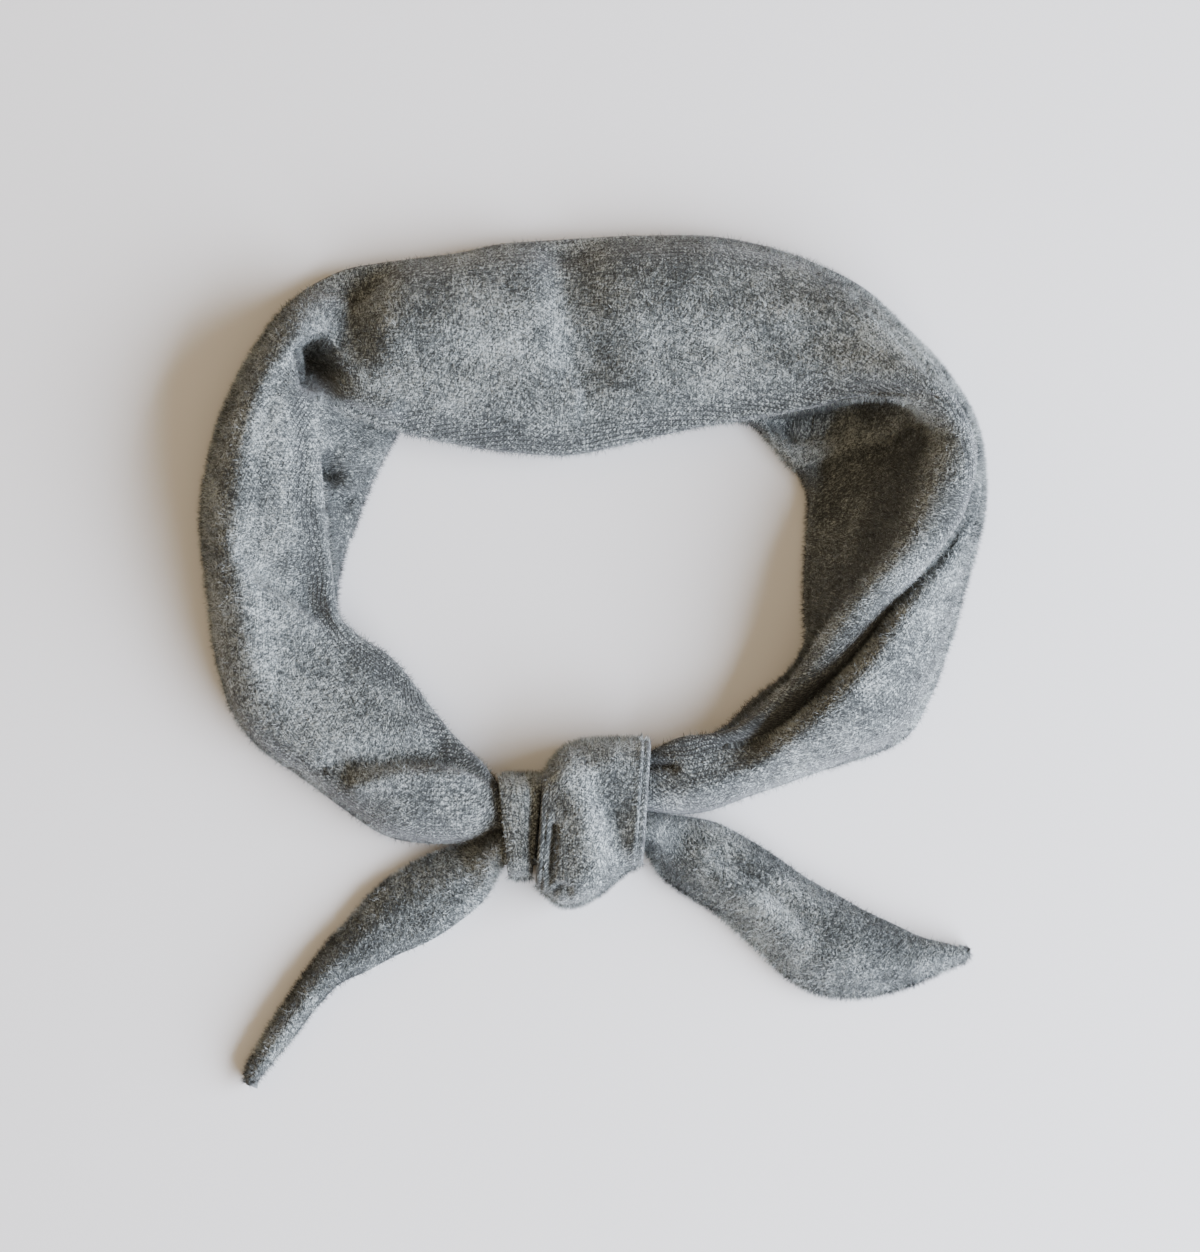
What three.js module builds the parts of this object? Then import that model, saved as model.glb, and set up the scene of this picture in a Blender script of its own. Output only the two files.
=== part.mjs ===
import * as THREE from "three";

// A kerchief of felted grey knit, folded to a doubled band, laid in a ring and tied in a flat knot.
// It lies on a level surface: +X points right, +Y from the knot to the back of the neck, +Z up.
// All lengths are millimetres. The origin lies under the middle of the whole, on the surface.

// Driving dimensions
const LOOP_WIDTH = 225.3; // the neck loop from side to side
const LOOP_DEPTH = 172.1; // from the band's hem at the knot to the back of the neck
const LOOP_ASIDE = 5.1; // the loop's middle lies this far right of the knot's
const BAND_HEIGHT = 33; // the highest ridge of the band
const WALL = 2.2; // one layer of the knit
const LAYER_GAP = 0.35; // air between two layers that lie on each other
const CLEARANCE = 0.4; // between the knot's turns and what passes through them
const KNOT_HEIGHT = 16; // the small turn of the knot over the surface
const SMALL_WRAP_WIDTH = 11; // along the band
const SMALL_WRAP_DEPTH = 29.3; // across the band
const LARGE_WRAP_WIDTH = 30.4;
const LARGE_WRAP_DEPTH = 48;
const LARGE_WRAP_RISE = 6; // how much higher the large turn swells than the small one
const TURN_SOFTNESS = 0.7; // how much rounder a turn's shoulders grow as it swells
const TURN_SWELLS_FROM = 0.9; // of the knot's height
const TAIL_LEFT_LENGTH = 103.5; // straight from the knot to the tip
const TAIL_LEFT_WIDTH = 22;
const TAIL_LEFT_ANGLE = THREE.MathUtils.degToRad(-134.4);
const TAIL_RIGHT_LENGTH = 100.7;
const TAIL_RIGHT_WIDTH = 27;
const TAIL_RIGHT_ANGLE = THREE.MathUtils.degToRad(-23.4);
const TAIL_PUFF = 6; // how far the upper layer of a tail swells over the lower one
const LEFT_BAND_SHARE = 0.56; // of the room across the knot's left end, the tail having the rest
const RIGHT_BAND_SHARE = 0.62;
const SHOULDER_AT = 0.3; // the band's shoulder, as a share of the way from its hem to its crest
const SHOULDER_RISE = 0.62; // and of the rise to it
const STRAND_CREST_AT = 0.38; // the band inside the knot, in shares of its width there
const STRAND_VALLEY_AT = 0.66;
const STRAND_RIDGE_RISE = 0.66; // of its height there
const STRAND_TUCK = 0.6; // how far its under layer ends inside its hem, in walls

// How finely the cloth is faceted
const BAND_STATIONS = 72;
const TAIL_STATIONS = 20;
const SMALL_WRAP_STATIONS = 5;
const LARGE_WRAP_STATIONS = 11;
const CORNER_STEPS = 4;
const TOP_STEPS = 4;

const FOLD_RADIUS = WALL / 2 + LAYER_GAP;
const KNOT_FLOOR = WALL + CLEARANCE;
const STRAND_HEIGHT = KNOT_HEIGHT - 2 * KNOT_FLOOR;
const KNOT_WIDTH = SMALL_WRAP_WIDTH + CLEARANCE + LARGE_WRAP_WIDTH;
const KNOT_LEFT = -KNOT_WIDTH / 2;
const STRAND_REACH = (KNOT_WIDTH - CLEARANCE) / 2; // the strands of both sides nearly meet inside
const STRAND_LEAD = 2 * CLEARANCE; // how far a strand runs straight past the knot

// A table turns rows of numbers into rows with named columns.
function table(columns, ...rows) {
  const names = columns.trim().split(/\s+/);
  return rows.map((row) => Object.fromEntries(names.map((name, i) => [name, row[i]])));
}

// The band, clockwise from the left of the knot. X is a share of half the loop's width, Y of its
// depth from the hem side at the knot, and Z of the band's height. A place At is a share of the way
// from the hem to the ridge.
// Bow is how far the inner face swells, and tuck how far the under layer ends inside the hem,
// both in wall thicknesses.
const BAND_SECTIONS = table(
  "hemX   hemY   crestAt crestZ valleyAt valleyZ ridgeX ridgeY ridgeZ footX footY bow tuck",
  [-0.313, -0.02, 0.42, 0.45, 0.75, 0.42, -0.279, 0.115, 0.36, -0.279, 0.106, 0.2, 1],
  [-0.416, -0.023, 0.4, 0.48, 0.75, 0.43, -0.344, 0.156, 0.34, -0.354, 0.147, 0.2, 1],
  [-0.532, -0.011, 0.36, 0.5, 0.75, 0.42, -0.398, 0.198, 0.31, -0.411, 0.187, 0.1, 1],
  [-0.75, 0.09, 0.3, 0.49, 0.72, 0.4, -0.514, 0.292, 0.29, -0.532, 0.279, 0, 1],
  [-0.858, 0.142, 0.28, 0.48, 0.7, 0.4, -0.601, 0.329, 0.29, -0.622, 0.316, 0, 1],
  [-0.928, 0.205, 0.28, 0.5, 0.7, 0.41, -0.645, 0.36, 0.31, -0.658, 0.353, 0, 1],
  [-0.987, 0.395, 0.3, 0.62, 0.7, 0.5, -0.671, 0.454, 0.42, -0.642, 0.454, -0.6, 1],
  [-1.005, 0.513, 0.32, 0.68, 0.7, 0.58, -0.686, 0.505, 0.47, -0.611, 0.508, -1, 1],
  [-0.987, 0.606, 0.33, 0.7, 0.72, 0.6, -0.704, 0.588, 0.5, -0.57, 0.579, -1.2, 1],
  [-0.951, 0.687, 0.34, 0.7, 0.72, 0.62, -0.719, 0.669, 0.5, -0.534, 0.626, -1.2, 1],
  [-0.887, 0.782, 0.36, 0.66, 0.72, 0.6, -0.722, 0.717, 0.46, -0.514, 0.649, -1, 1],
  [-0.776, 0.887, 0.38, 0.6, 0.72, 0.52, -0.694, 0.71, 0.4, -0.501, 0.669, -0.6, 1],
  [-0.66, 0.937, 0.38, 0.54, 0.72, 0.46, -0.616, 0.695, 0.34, -0.493, 0.683, -0.2, 1],
  [-0.532, 0.953, 0.38, 0.52, 0.72, 0.44, -0.506, 0.671, 0.3, -0.462, 0.68, 0, 1],
  [-0.369, 0.968, 0.38, 0.52, 0.74, 0.44, -0.377, 0.651, 0.27, -0.364, 0.669, 0, 1],
  [-0.21, 0.987, 0.38, 0.51, 0.74, 0.43, -0.223, 0.635, 0.26, -0.215, 0.656, 0, 1],
  [-0.042, 0.995, 0.38, 0.5, 0.74, 0.42, -0.055, 0.628, 0.26, -0.05, 0.653, 0, 1],
  [0.125, 1, 0.38, 0.52, 0.74, 0.43, 0.117, 0.651, 0.27, 0.115, 0.669, 0, 1],
  [0.292, 0.998, 0.4, 0.54, 0.74, 0.46, 0.279, 0.675, 0.3, 0.279, 0.683, 0, 0.5],
  [0.434, 0.984, 0.42, 0.57, 0.74, 0.5, 0.447, 0.693, 0.36, 0.413, 0.683, 0, 0],
  [0.568, 0.953, 0.44, 0.62, 0.74, 0.58, 0.588, 0.712, 0.46, 0.465, 0.649, -0.3, -0.6],
  [0.699, 0.901, 0.46, 0.68, 0.76, 0.7, 0.712, 0.725, 0.64, 0.506, 0.615, -0.5, -0.7],
  [0.794, 0.838, 0.46, 0.72, 0.76, 0.82, 0.807, 0.725, 0.8, 0.537, 0.597, -0.6, -0.6],
  [0.884, 0.771, 0.4, 0.66, 0.74, 0.86, 0.876, 0.71, 0.92, 0.552, 0.579, -0.6, 0],
  [0.954, 0.703, 0.34, 0.56, 0.68, 0.84, 0.931, 0.673, 0.98, 0.56, 0.555, -0.4, 0.5],
  [0.99, 0.622, 0.3, 0.5, 0.64, 0.78, 0.961, 0.622, 1, 0.557, 0.518, -0.2, 1],
  [0.997, 0.534, 0.34, 0.54, 0.66, 0.42, 0.928, 0.53, 1, 0.552, 0.471, 0, 1],
  [0.972, 0.446, 0.42, 0.64, 0.77, 0.26, 0.858, 0.466, 0.97, 0.547, 0.421, 0.2, 1],
  [0.933, 0.34, 0.48, 0.7, 0.84, 0.2, 0.763, 0.383, 0.92, 0.547, 0.367, 0.3, 1],
  [0.879, 0.235, 0.52, 0.72, 0.87, 0.2, 0.665, 0.302, 0.84, 0.547, 0.311, 0.3, 1],
  [0.807, 0.154, 0.55, 0.68, 0.88, 0.2, 0.575, 0.235, 0.72, 0.501, 0.262, 0.2, 1],
  [0.686, 0.12, 0.56, 0.6, 0.87, 0.22, 0.49, 0.189, 0.58, 0.413, 0.218, 0.2, 1],
  [0.557, 0.093, 0.52, 0.52, 0.86, 0.26, 0.408, 0.166, 0.48, 0.346, 0.174, 0.1, 1],
  [0.421, 0.059, 0.5, 0.48, 0.82, 0.36, 0.31, 0.16, 0.4, 0.3, 0.154, 0, 1],
  [0.279, 0.029, 0.48, 0.46, 0.78, 0.42, 0.215, 0.154, 0.37, 0.21, 0.146, 0, 1],
);

// Creases pressed into the band's outer face, each along a line from one place to another.
// X is a share of half the loop's width, Y and width of its depth, and deep of the band's height.
const BAND_DENTS = table(
  "fromX  fromY  toX    toY    width  deep",
  [-0.63, 0.93, -0.62, 0.81, 0.065, 0.22],
  [-0.62, 0.81, -0.66, 0.77, 0.065, 0.26],
  [-0.08, 0.97, -0.04, 0.67, 0.06, 0.14],
  [-0.82, 0.48, -0.67, 0.35, 0.055, 0.13],
  [-0.63, 0.1, -0.4, 0.12, 0.045, 0.14],
);

// The tails, from the knot to the tip. Near is the edge that leaves the knot beside the band, in
// shares of the tail's length along it and aside from it. Across leads from there to the other
// edge, in shares of the tail's width. Puff is a share of the tails' puff.
const TAIL_LEFT_SECTIONS = table(
  "nearAt nearAside acrossAhead acrossAside puff crease",
  [0.09, -0.035, 0.36, 0.67, 0.6, 0],
  [0.16, -0.076, 0.4, 0.85, 0.8, 0.2],
  [0.26, -0.112, 0.44, 0.91, 0.9, 0.3],
  [0.36, -0.126, 0.4, 0.8, 0.9, 0.3],
  [0.48, -0.121, 0.27, 0.63, 0.8, 0.2],
  [0.58, -0.118, 0.2, 0.47, 0.7, 0.1],
  [0.68, -0.105, 0.15, 0.41, 0.6, 0],
  [0.77, -0.085, 0.18, 0.36, 0.5, 0],
  [0.86, -0.062, 0.15, 0.28, 0.4, 0],
  [0.95, -0.045, 0.02, 0.24, 0.2, 0],
  [0.99, -0.026, -0.01, 0.16, 0, 0],
);
const TAIL_RIGHT_SECTIONS = table(
  "nearAt nearAside acrossAhead acrossAside puff crease",
  [0.1, 0.04, 0.06, -0.71, 0.6, 0.2],
  [0.19, 0.059, 0.07, -0.85, 0.8, 0.5],
  [0.28, 0.051, 0.04, -0.87, 0.9, 0.7],
  [0.39, 0.035, -0.04, -0.92, 1, 0.7],
  [0.49, 0.016, -0.09, -0.96, 1, 0.5],
  [0.59, 0.006, -0.08, -1.04, 1, 0.3],
  [0.68, -0.005, -0.04, -1, 1, 0.2],
  [0.77, -0.007, 0.06, -0.82, 0.8, 0.1],
  [0.86, -0.008, 0.08, -0.55, 0.5, 0],
  [0.93, 0.002, 0.11, -0.27, 0.2, 0],
  [0.98, 0.009, 0.06, -0.13, 0, 0],
);

// The upper layer of a tail, from its fold to its free edge, in shares of the tail's width and of
// its puff, and how much of the crease each place takes.
const TAIL_CROWN = table(
  "at    tall  creased",
  [0.34, 1, 0],
  [0.6, 1, 1],
  [0.82, 0.75, 0],
);

// The turns of the knot, from left to right. Low and high are shares of the turn's depth from the
// knot's middle, tall is a share of its rise over the small turn, and at a share of its width.
const SMALL_WRAP_SECTIONS = table(
  "at    low     high   tall",
  [0, -0.66, 0.322, -0.06],
  [0.3, -0.675, 0.33, 0.06],
  [0.7, -0.675, 0.33, 0.08],
  [1, -0.672, 0.328, 0],
);
const LARGE_WRAP_SECTIONS = table(
  "at    low     high   tall",
  [0, -0.45, 0.215, 0.05],
  [0.1, -0.51, 0.3, 0.5],
  [0.22, -0.575, 0.375, 0.85],
  [0.4, -0.572, 0.404, 1],
  [0.58, -0.505, 0.41, 0.95],
  [0.74, -0.415, 0.41, 0.75],
  [0.9, -0.34, 0.408, 0.5],
  [1, -0.315, 0.396, 0.3],
);

// The room that each end of the knot leaves for what passes through it, across the band, and the
// share of it that the band takes, the tail having the rest.
function knotRoom(row, depth, share) {
  const low = row.low * depth + KNOT_FLOOR;
  const high = row.high * depth - KNOT_FLOOR;
  const free = high - low - CLEARANCE;
  return { band: { low: high - free * share, high }, tail: { low, high: low + free * (1 - share) } };
}

const LEFT_ROOM = knotRoom(SMALL_WRAP_SECTIONS[0], SMALL_WRAP_DEPTH, LEFT_BAND_SHARE);
const RIGHT_ROOM = knotRoom(LARGE_WRAP_SECTIONS.at(-1), LARGE_WRAP_DEPTH, RIGHT_BAND_SHARE);

const vec = (x, y, z) => new THREE.Vector3(x, y, z);

// A place in the loop from its shares of the loop's width and depth and of the band's height.
function loopPlace(x, y, z) {
  const side = LOOP_ASIDE + (x * LOOP_WIDTH) / 2;
  return vec(side, LEFT_ROOM.band.low + y * LOOP_DEPTH, z * BAND_HEIGHT);
}

// A row of the band's table as places in millimetres.
function loopSection(row) {
  const hem = loopPlace(row.hemX, row.hemY, 0);
  const ridge = loopPlace(row.ridgeX, row.ridgeY, row.ridgeZ);
  const onFace = (at, z) => hem.clone().lerp(ridge, at).setZ(z * BAND_HEIGHT);
  return {
    hem,
    crest: onFace(row.crestAt, row.crestZ),
    valley: onFace(row.valleyAt, row.valleyZ),
    ridge,
    foot: loopPlace(row.footX, row.footY, 0),
    lift: 0,
    bow: row.bow * WALL,
    tuck: row.tuck * WALL,
  };
}

// The band's section where it is gathered in the knot, at one place along it.
function strandSection(x, side) {
  const width = side.high - side.low;
  const top = KNOT_FLOOR + STRAND_HEIGHT - WALL / 2 - LAYER_GAP;
  return {
    hem: vec(x, side.low, 0),
    crest: vec(x, side.low + width * STRAND_CREST_AT, top),
    valley: vec(x, side.low + width * STRAND_VALLEY_AT, top),
    ridge: vec(x, side.high, KNOT_FLOOR + STRAND_HEIGHT * STRAND_RIDGE_RISE),
    foot: vec(x, side.high, 0),
    lift: KNOT_FLOOR,
    bow: 0,
    tuck: WALL * STRAND_TUCK,
  };
}

// The three points of a fold whose outside reaches tip, between what comes in and what goes out.
function foldPoints(tip, before, after) {
  const into = tip.clone().sub(before).normalize();
  const out = tip.clone().sub(after).normalize();
  const point = into.clone().add(out).normalize();
  const aside = before.clone().sub(tip);
  aside.addScaledVector(point, -aside.dot(point)).normalize();
  const end = tip.clone().addScaledVector(point, -WALL / 2);
  const middle = end.clone().addScaledVector(point, -FOLD_RADIUS);
  return [
    middle.clone().addScaledVector(aside, FOLD_RADIUS),
    end,
    middle.clone().addScaledVector(aside, -FOLD_RADIUS),
  ];
}

// The places that the middle of the cloth passes through in one section of the band: from the hem
// over the outer face and the ridge, down the inner face, and back under to the hem.
function bandKeys(section) {
  const under = section.lift + WALL / 2;
  const over = under + 2 * FOLD_RADIUS;
  const inward = section.foot.clone().sub(section.hem).setZ(0).normalize();
  const hem = section.hem.clone().addScaledVector(inward, WALL / 2).setZ(over);
  const shoulder = hem.clone().lerp(section.crest, SHOULDER_AT);
  shoulder.z = THREE.MathUtils.lerp(over, section.crest.z, SHOULDER_RISE);
  const footTip = section.foot.clone().addScaledVector(inward, -WALL / 2).setZ(under + FOLD_RADIUS);
  const back = footTip.clone().addScaledVector(inward, -FOLD_RADIUS);
  const ridge = foldPoints(section.ridge, section.valley, back);
  const above = back.clone().setZ(over);
  const below = back.clone().setZ(under);
  const inner = ridge[2].clone().lerp(above, 0.5);
  inner.addScaledVector(inward, section.bow);
  const end = section.hem.clone().addScaledVector(inward, WALL / 2 + section.tuck).setZ(under);
  return [
    hem,
    shoulder,
    section.crest,
    section.valley,
    ...ridge,
    inner,
    above,
    footTip,
    below,
    below.clone().lerp(end, 0.5),
    end,
  ];
}

// How many facets lie between one of those places and the next.
const BAND_STEPS = [2, 3, 3, 3, 2, 2, 1, 2, 2, 2, 1, 2];

// How many of them lie on the outer face, from the hem to the ridge.
const FACE_STEPS = BAND_STEPS[0] + BAND_STEPS[1] + BAND_STEPS[2] + BAND_STEPS[3];

// Points along a smooth line through the keys, with a chosen number of steps between each two.
function along(keys, steps) {
  const curve = new THREE.CatmullRomCurve3(keys, false, "centripetal");
  const points = [curve.getPoint(0)];
  steps.forEach((count, i) => {
    for (let k = 1; k <= count; k++) points.push(curve.getPoint((i + k / count) / (keys.length - 1)));
  });
  return points;
}

// A grid of points: rows of keys joined smoothly from row to row, then each row filled in.
function loftGrid(rows, stations, steps) {
  const lines = rows[0].map(
    (_, j) => new THREE.CatmullRomCurve3(rows.map((row) => row[j]), false, "centripetal"),
  );
  const grid = [];
  for (let i = 0; i <= stations; i++) {
    grid.push(along(lines.map((line) => line.getPoint(i / stations)), steps));
  }
  return grid;
}

// The distance in plan from a point to a line between two places.
function awayFrom(point, from, to) {
  const line = to.clone().sub(from);
  const share = THREE.MathUtils.clamp(point.clone().sub(from).dot(line) / line.lengthSq(), 0, 1);
  return point.clone().sub(from.addScaledVector(line, share)).length();
}

// Presses the dents into the outer face, fading out at its hem and its ridge.
function pressDents(grid) {
  const floor = WALL / 2 + 2 * FOLD_RADIUS;
  for (const row of grid) {
    row.slice(1, FACE_STEPS).forEach((point, j) => {
      const fade = Math.sqrt(Math.sin((Math.PI * (j + 1)) / FACE_STEPS));
      for (const dent of BAND_DENTS) {
        const flat = point.clone().setZ(0);
        const from = loopPlace(dent.fromX, dent.fromY, 0);
        const away = awayFrom(flat, from, loopPlace(dent.toX, dent.toY, 0));
        const depth = dent.deep * BAND_HEIGHT * Math.exp(-((away / (dent.width * LOOP_DEPTH)) ** 2));
        point.z = Math.max(floor, point.z - depth * fade);
      }
    });
  }
}

// The direction across the cloth at each point of a grid.
function gridNormals(grid) {
  const last = grid.length - 1;
  return grid.map((row, i) =>
    row.map((_, j) => {
      const ahead = grid[Math.min(i + 1, last)][j].clone().sub(grid[Math.max(i - 1, 0)][j]);
      const side = row[Math.min(j + 1, row.length - 1)].clone().sub(row[Math.max(j - 1, 0)]);
      return ahead.cross(side).normalize();
    }),
  );
}

// A closed solid from its points and its triangles, turned to face outwards.
function solidGeometry(points, faces) {
  const volume = faces.reduce((sum, [a, b, c]) => {
    const cross = points[b].clone().cross(points[c]);
    return sum + points[a].dot(cross) / 6;
  }, 0);
  const turned = volume < 0 ? faces.map(([a, b, c]) => [a, c, b]) : faces;
  const geometry = new THREE.BufferGeometry().setFromPoints(points);
  geometry.setIndex(turned.flat());
  geometry.computeVertexNormals();
  return geometry;
}

// The two triangles of a four-sided facet.
const quad = (a, b, c, d) => [[a, b, c], [a, c, d]];

// Cloth of one wall's thickness about a grid of points that are its middle.
function clothGeometry(grid) {
  const normals = gridNormals(grid);
  const wide = grid[0].length;
  const count = grid.length * wide;
  const shifted = (by) =>
    grid.flatMap((row, i) =>
      row.map((middle, j) => {
        const point = middle.clone().addScaledVector(normals[i][j], by);
        return point.setZ(Math.max(0, point.z));
      }),
    );
  const points = [...shifted(WALL / 2), ...shifted(-WALL / 2)];
  const faces = [];
  for (let i = 0; i + 1 < grid.length; i++) {
    for (let j = 0; j + 1 < wide; j++) {
      const a = i * wide + j;
      faces.push(...quad(a, a + wide, a + wide + 1, a + 1));
      faces.push(...quad(count + a, count + a + 1, count + a + wide + 1, count + a + wide));
    }
  }
  const rim = (a, b) => faces.push(...quad(a, b, count + b, count + a));
  for (let j = 0; j + 1 < wide; j++) {
    rim(j, j + 1);
    rim((grid.length - 1) * wide + j + 1, (grid.length - 1) * wide + j);
  }
  for (let i = 0; i + 1 < grid.length; i++) {
    rim((i + 1) * wide, i * wide);
    rim(i * wide + wide - 1, (i + 1) * wide + wide - 1);
  }
  return solidGeometry(points, faces);
}

// A closed turn of cloth: rings of points outside and inside, joined at both ends.
function wrapGeometry(outer, inner) {
  const round = outer[0].length;
  const count = outer.length * round;
  const points = [...outer.flat(), ...inner.flat()];
  const faces = [];
  for (let j = 0; j < round; j++) {
    const next = (j + 1) % round;
    for (let i = 0; i + 1 < outer.length; i++) {
      const a = i * round + j;
      const b = i * round + next;
      faces.push(...quad(a, b, b + round, a + round));
      faces.push(...quad(count + a, count + a + round, count + b + round, count + b));
    }
    const end = (outer.length - 1) * round;
    faces.push(...quad(j, count + j, count + next, next));
    faces.push(...quad(end + j, end + next, count + end + next, count + end + j));
  }
  return solidGeometry(points, faces);
}

// One ring of a turn: a rounded box that stands on the surface, drawn in by some wall.
function ringPoints(x, low, high, top, wall) {
  const foot = WALL + FOLD_RADIUS + WALL / 2;
  const shoulder = foot + (top - KNOT_HEIGHT * TURN_SWELLS_FROM) * TURN_SOFTNESS;
  const corners = [
    { y: high - foot, z: foot, round: foot, turn: -0.25, side: 1 },
    { y: high - shoulder, z: top - shoulder, round: shoulder, turn: 0, side: TOP_STEPS },
    { y: low + shoulder, z: top - shoulder, round: shoulder, turn: 0.25, side: 1 },
    { y: low + foot, z: foot, round: foot, turn: 0.5, side: TOP_STEPS },
  ];
  const arcs = corners.map((corner) => {
    const points = [];
    for (let k = 0; k <= CORNER_STEPS; k++) {
      const angle = 2 * Math.PI * (corner.turn + (0.25 * k) / CORNER_STEPS);
      const radius = corner.round - wall;
      points.push(vec(x, corner.y + radius * Math.cos(angle), corner.z + radius * Math.sin(angle)));
    }
    return points;
  });
  return arcs.flatMap((arc, i) => {
    const next = arcs[(i + 1) % arcs.length][0];
    const side = [];
    for (let k = 1; k < corners[i].side; k++) {
      side.push(arc[CORNER_STEPS].clone().lerp(next, k / corners[i].side));
    }
    return [...arc, ...side];
  });
}

// A turn of the knot lofted through the rows of its table.
function wrap(rows, left, width, depth, stations) {
  const line = new THREE.CatmullRomCurve3(
    rows.map((row) => vec(row.low * depth, row.high * depth, KNOT_HEIGHT + row.tall * LARGE_WRAP_RISE)),
    false,
    "centripetal",
  );
  const places = new THREE.CatmullRomCurve3(
    rows.map((row) => vec(left + row.at * width, 0, 0)),
    false,
    "centripetal",
  );
  const outer = [];
  const inner = [];
  for (let i = 0; i <= stations; i++) {
    const size = line.getPoint(i / stations);
    const { x } = places.getPoint(i / stations);
    outer.push(ringPoints(x, size.x, size.y, size.z, 0));
    inner.push(ringPoints(x, size.x, size.y, size.z, WALL));
  }
  return wrapGeometry(outer, inner);
}

// Where the sections of a strand stand in the knot, from inside it to just outside: at its reach,
// at the edge of the turn that it leaves, and a little beyond, so that it runs straight between.
function strandPlaces(side) {
  const edge = side * (KNOT_WIDTH / 2);
  return [edge - side * STRAND_REACH, edge, edge + side * STRAND_LEAD];
}

// The doubled band round the neck opening, from inside the knot round to inside it again.
function neckBand() {
  const sections = [
    ...strandPlaces(-1).map((x) => strandSection(x, LEFT_ROOM.band)),
    ...BAND_SECTIONS.map(loopSection),
    ...strandPlaces(1).reverse().map((x) => strandSection(x, RIGHT_ROOM.band)),
  ];
  const grid = loftGrid(sections.map(bandKeys), BAND_STATIONS, BAND_STEPS);
  pressDents(grid);
  return clothGeometry(grid);
}

// The places that the middle of the cloth passes through in one section of a tail: from the lower
// free edge over to the fold, and back on top to the upper free edge.
function tailKeys(fold, free, lift, puff, crease) {
  const under = lift + WALL / 2;
  const over = under + 2 * FOLD_RADIUS;
  const inward = free.clone().sub(fold).setZ(0).normalize();
  const tip = fold.clone().addScaledVector(inward, WALL / 2).setZ(under + FOLD_RADIUS);
  const back = tip.clone().addScaledVector(inward, FOLD_RADIUS);
  const edge = free.clone().addScaledVector(inward, -WALL / 2);
  const onTop = (share, z) => back.clone().lerp(edge, share).setZ(z);
  return [
    edge.clone().setZ(under),
    onTop(0.5, under),
    back.clone().setZ(under),
    tip,
    back.clone().setZ(over),
    ...TAIL_CROWN.map((row) => onTop(row.at, over + puff * row.tall * (1 - crease * row.creased))),
    edge.clone().setZ(over),
  ];
}

const TAIL_STEPS = [1, 2, 2, 2, 2, 2, 2, 1];

// A tail from inside the knot to its tip. It leaves on the given side of the knot through its
// room, beside the band, and folds either at that near edge or at the other one.
function tail(side, room, foldsNear, rows, angle, length, width) {
  const ahead = vec(Math.cos(angle), Math.sin(angle), 0);
  const aside = vec(-ahead.y, ahead.x, 0);
  const places = strandPlaces(side);
  const start = vec(places.at(-1), room.high, 0);
  const section = (near, far, ...shape) =>
    foldsNear ? tailKeys(near, far, ...shape) : tailKeys(far, near, ...shape);
  const puffInside = STRAND_HEIGHT - 2 * FOLD_RADIUS - WALL - LAYER_GAP;
  const inside = places.map((x) =>
    section(vec(x, room.high, 0), vec(x, room.low + LAYER_GAP, 0), KNOT_FLOOR, puffInside, 0),
  );
  const outside = rows.map((row) => {
    const near = start.clone().addScaledVector(ahead, row.nearAt * length);
    near.addScaledVector(aside, row.nearAside * length);
    const far = near.clone().addScaledVector(ahead, row.acrossAhead * width);
    far.addScaledVector(aside, row.acrossAside * width);
    return section(near, far, 0, row.puff * TAIL_PUFF, row.crease);
  });
  return clothGeometry(loftGrid([...inside, ...outside], TAIL_STATIONS, TAIL_STEPS));
}

const tailLeft = () =>
  tail(-1, LEFT_ROOM.tail, true, TAIL_LEFT_SECTIONS, TAIL_LEFT_ANGLE, TAIL_LEFT_LENGTH, TAIL_LEFT_WIDTH);

function tailRight() {
  const rows = TAIL_RIGHT_SECTIONS;
  const room = RIGHT_ROOM.tail;
  return tail(1, room, false, rows, TAIL_RIGHT_ANGLE, TAIL_RIGHT_LENGTH, TAIL_RIGHT_WIDTH);
}

const smallWrap = () =>
  wrap(SMALL_WRAP_SECTIONS, KNOT_LEFT, SMALL_WRAP_WIDTH, SMALL_WRAP_DEPTH, SMALL_WRAP_STATIONS);

function largeWrap() {
  const left = KNOT_LEFT + SMALL_WRAP_WIDTH + CLEARANCE;
  return wrap(LARGE_WRAP_SECTIONS, left, LARGE_WRAP_WIDTH, LARGE_WRAP_DEPTH, LARGE_WRAP_STATIONS);
}

// Grey melange knit, brushed so that it has no shine.
function meltonGrey(color) {
  return new THREE.MeshStandardMaterial({ color, roughness: 0.95, metalness: 0 });
}

function piece(name, geometry, color) {
  const mesh = new THREE.Mesh(geometry, meltonGrey(color));
  mesh.name = name;
  return mesh;
}

const neckerchief = new THREE.Group();
neckerchief.add(
  piece("neck_band", neckBand(), "#8f9292"),
  piece("knot_wrap_small", smallWrap(), "#888a89"),
  piece("knot_wrap_large", largeWrap(), "#8c8e8d"),
  piece("tail_left", tailLeft(), "#7f8281"),
  piece("tail_right", tailRight(), "#868a8b"),
);
const box = new THREE.Box3().setFromObject(neckerchief);
const middle = box.getCenter(vec(0, 0, 0));
neckerchief.position.set(-middle.x, -middle.y, -box.min.z);

export default neckerchief;
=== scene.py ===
import logging
import math
from collections.abc import Sequence
from dataclasses import dataclass, fields
from enum import Enum

import bmesh
import bpy
import numpy as np
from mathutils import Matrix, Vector, noise
from mathutils.bvhtree import BVHTree


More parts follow.
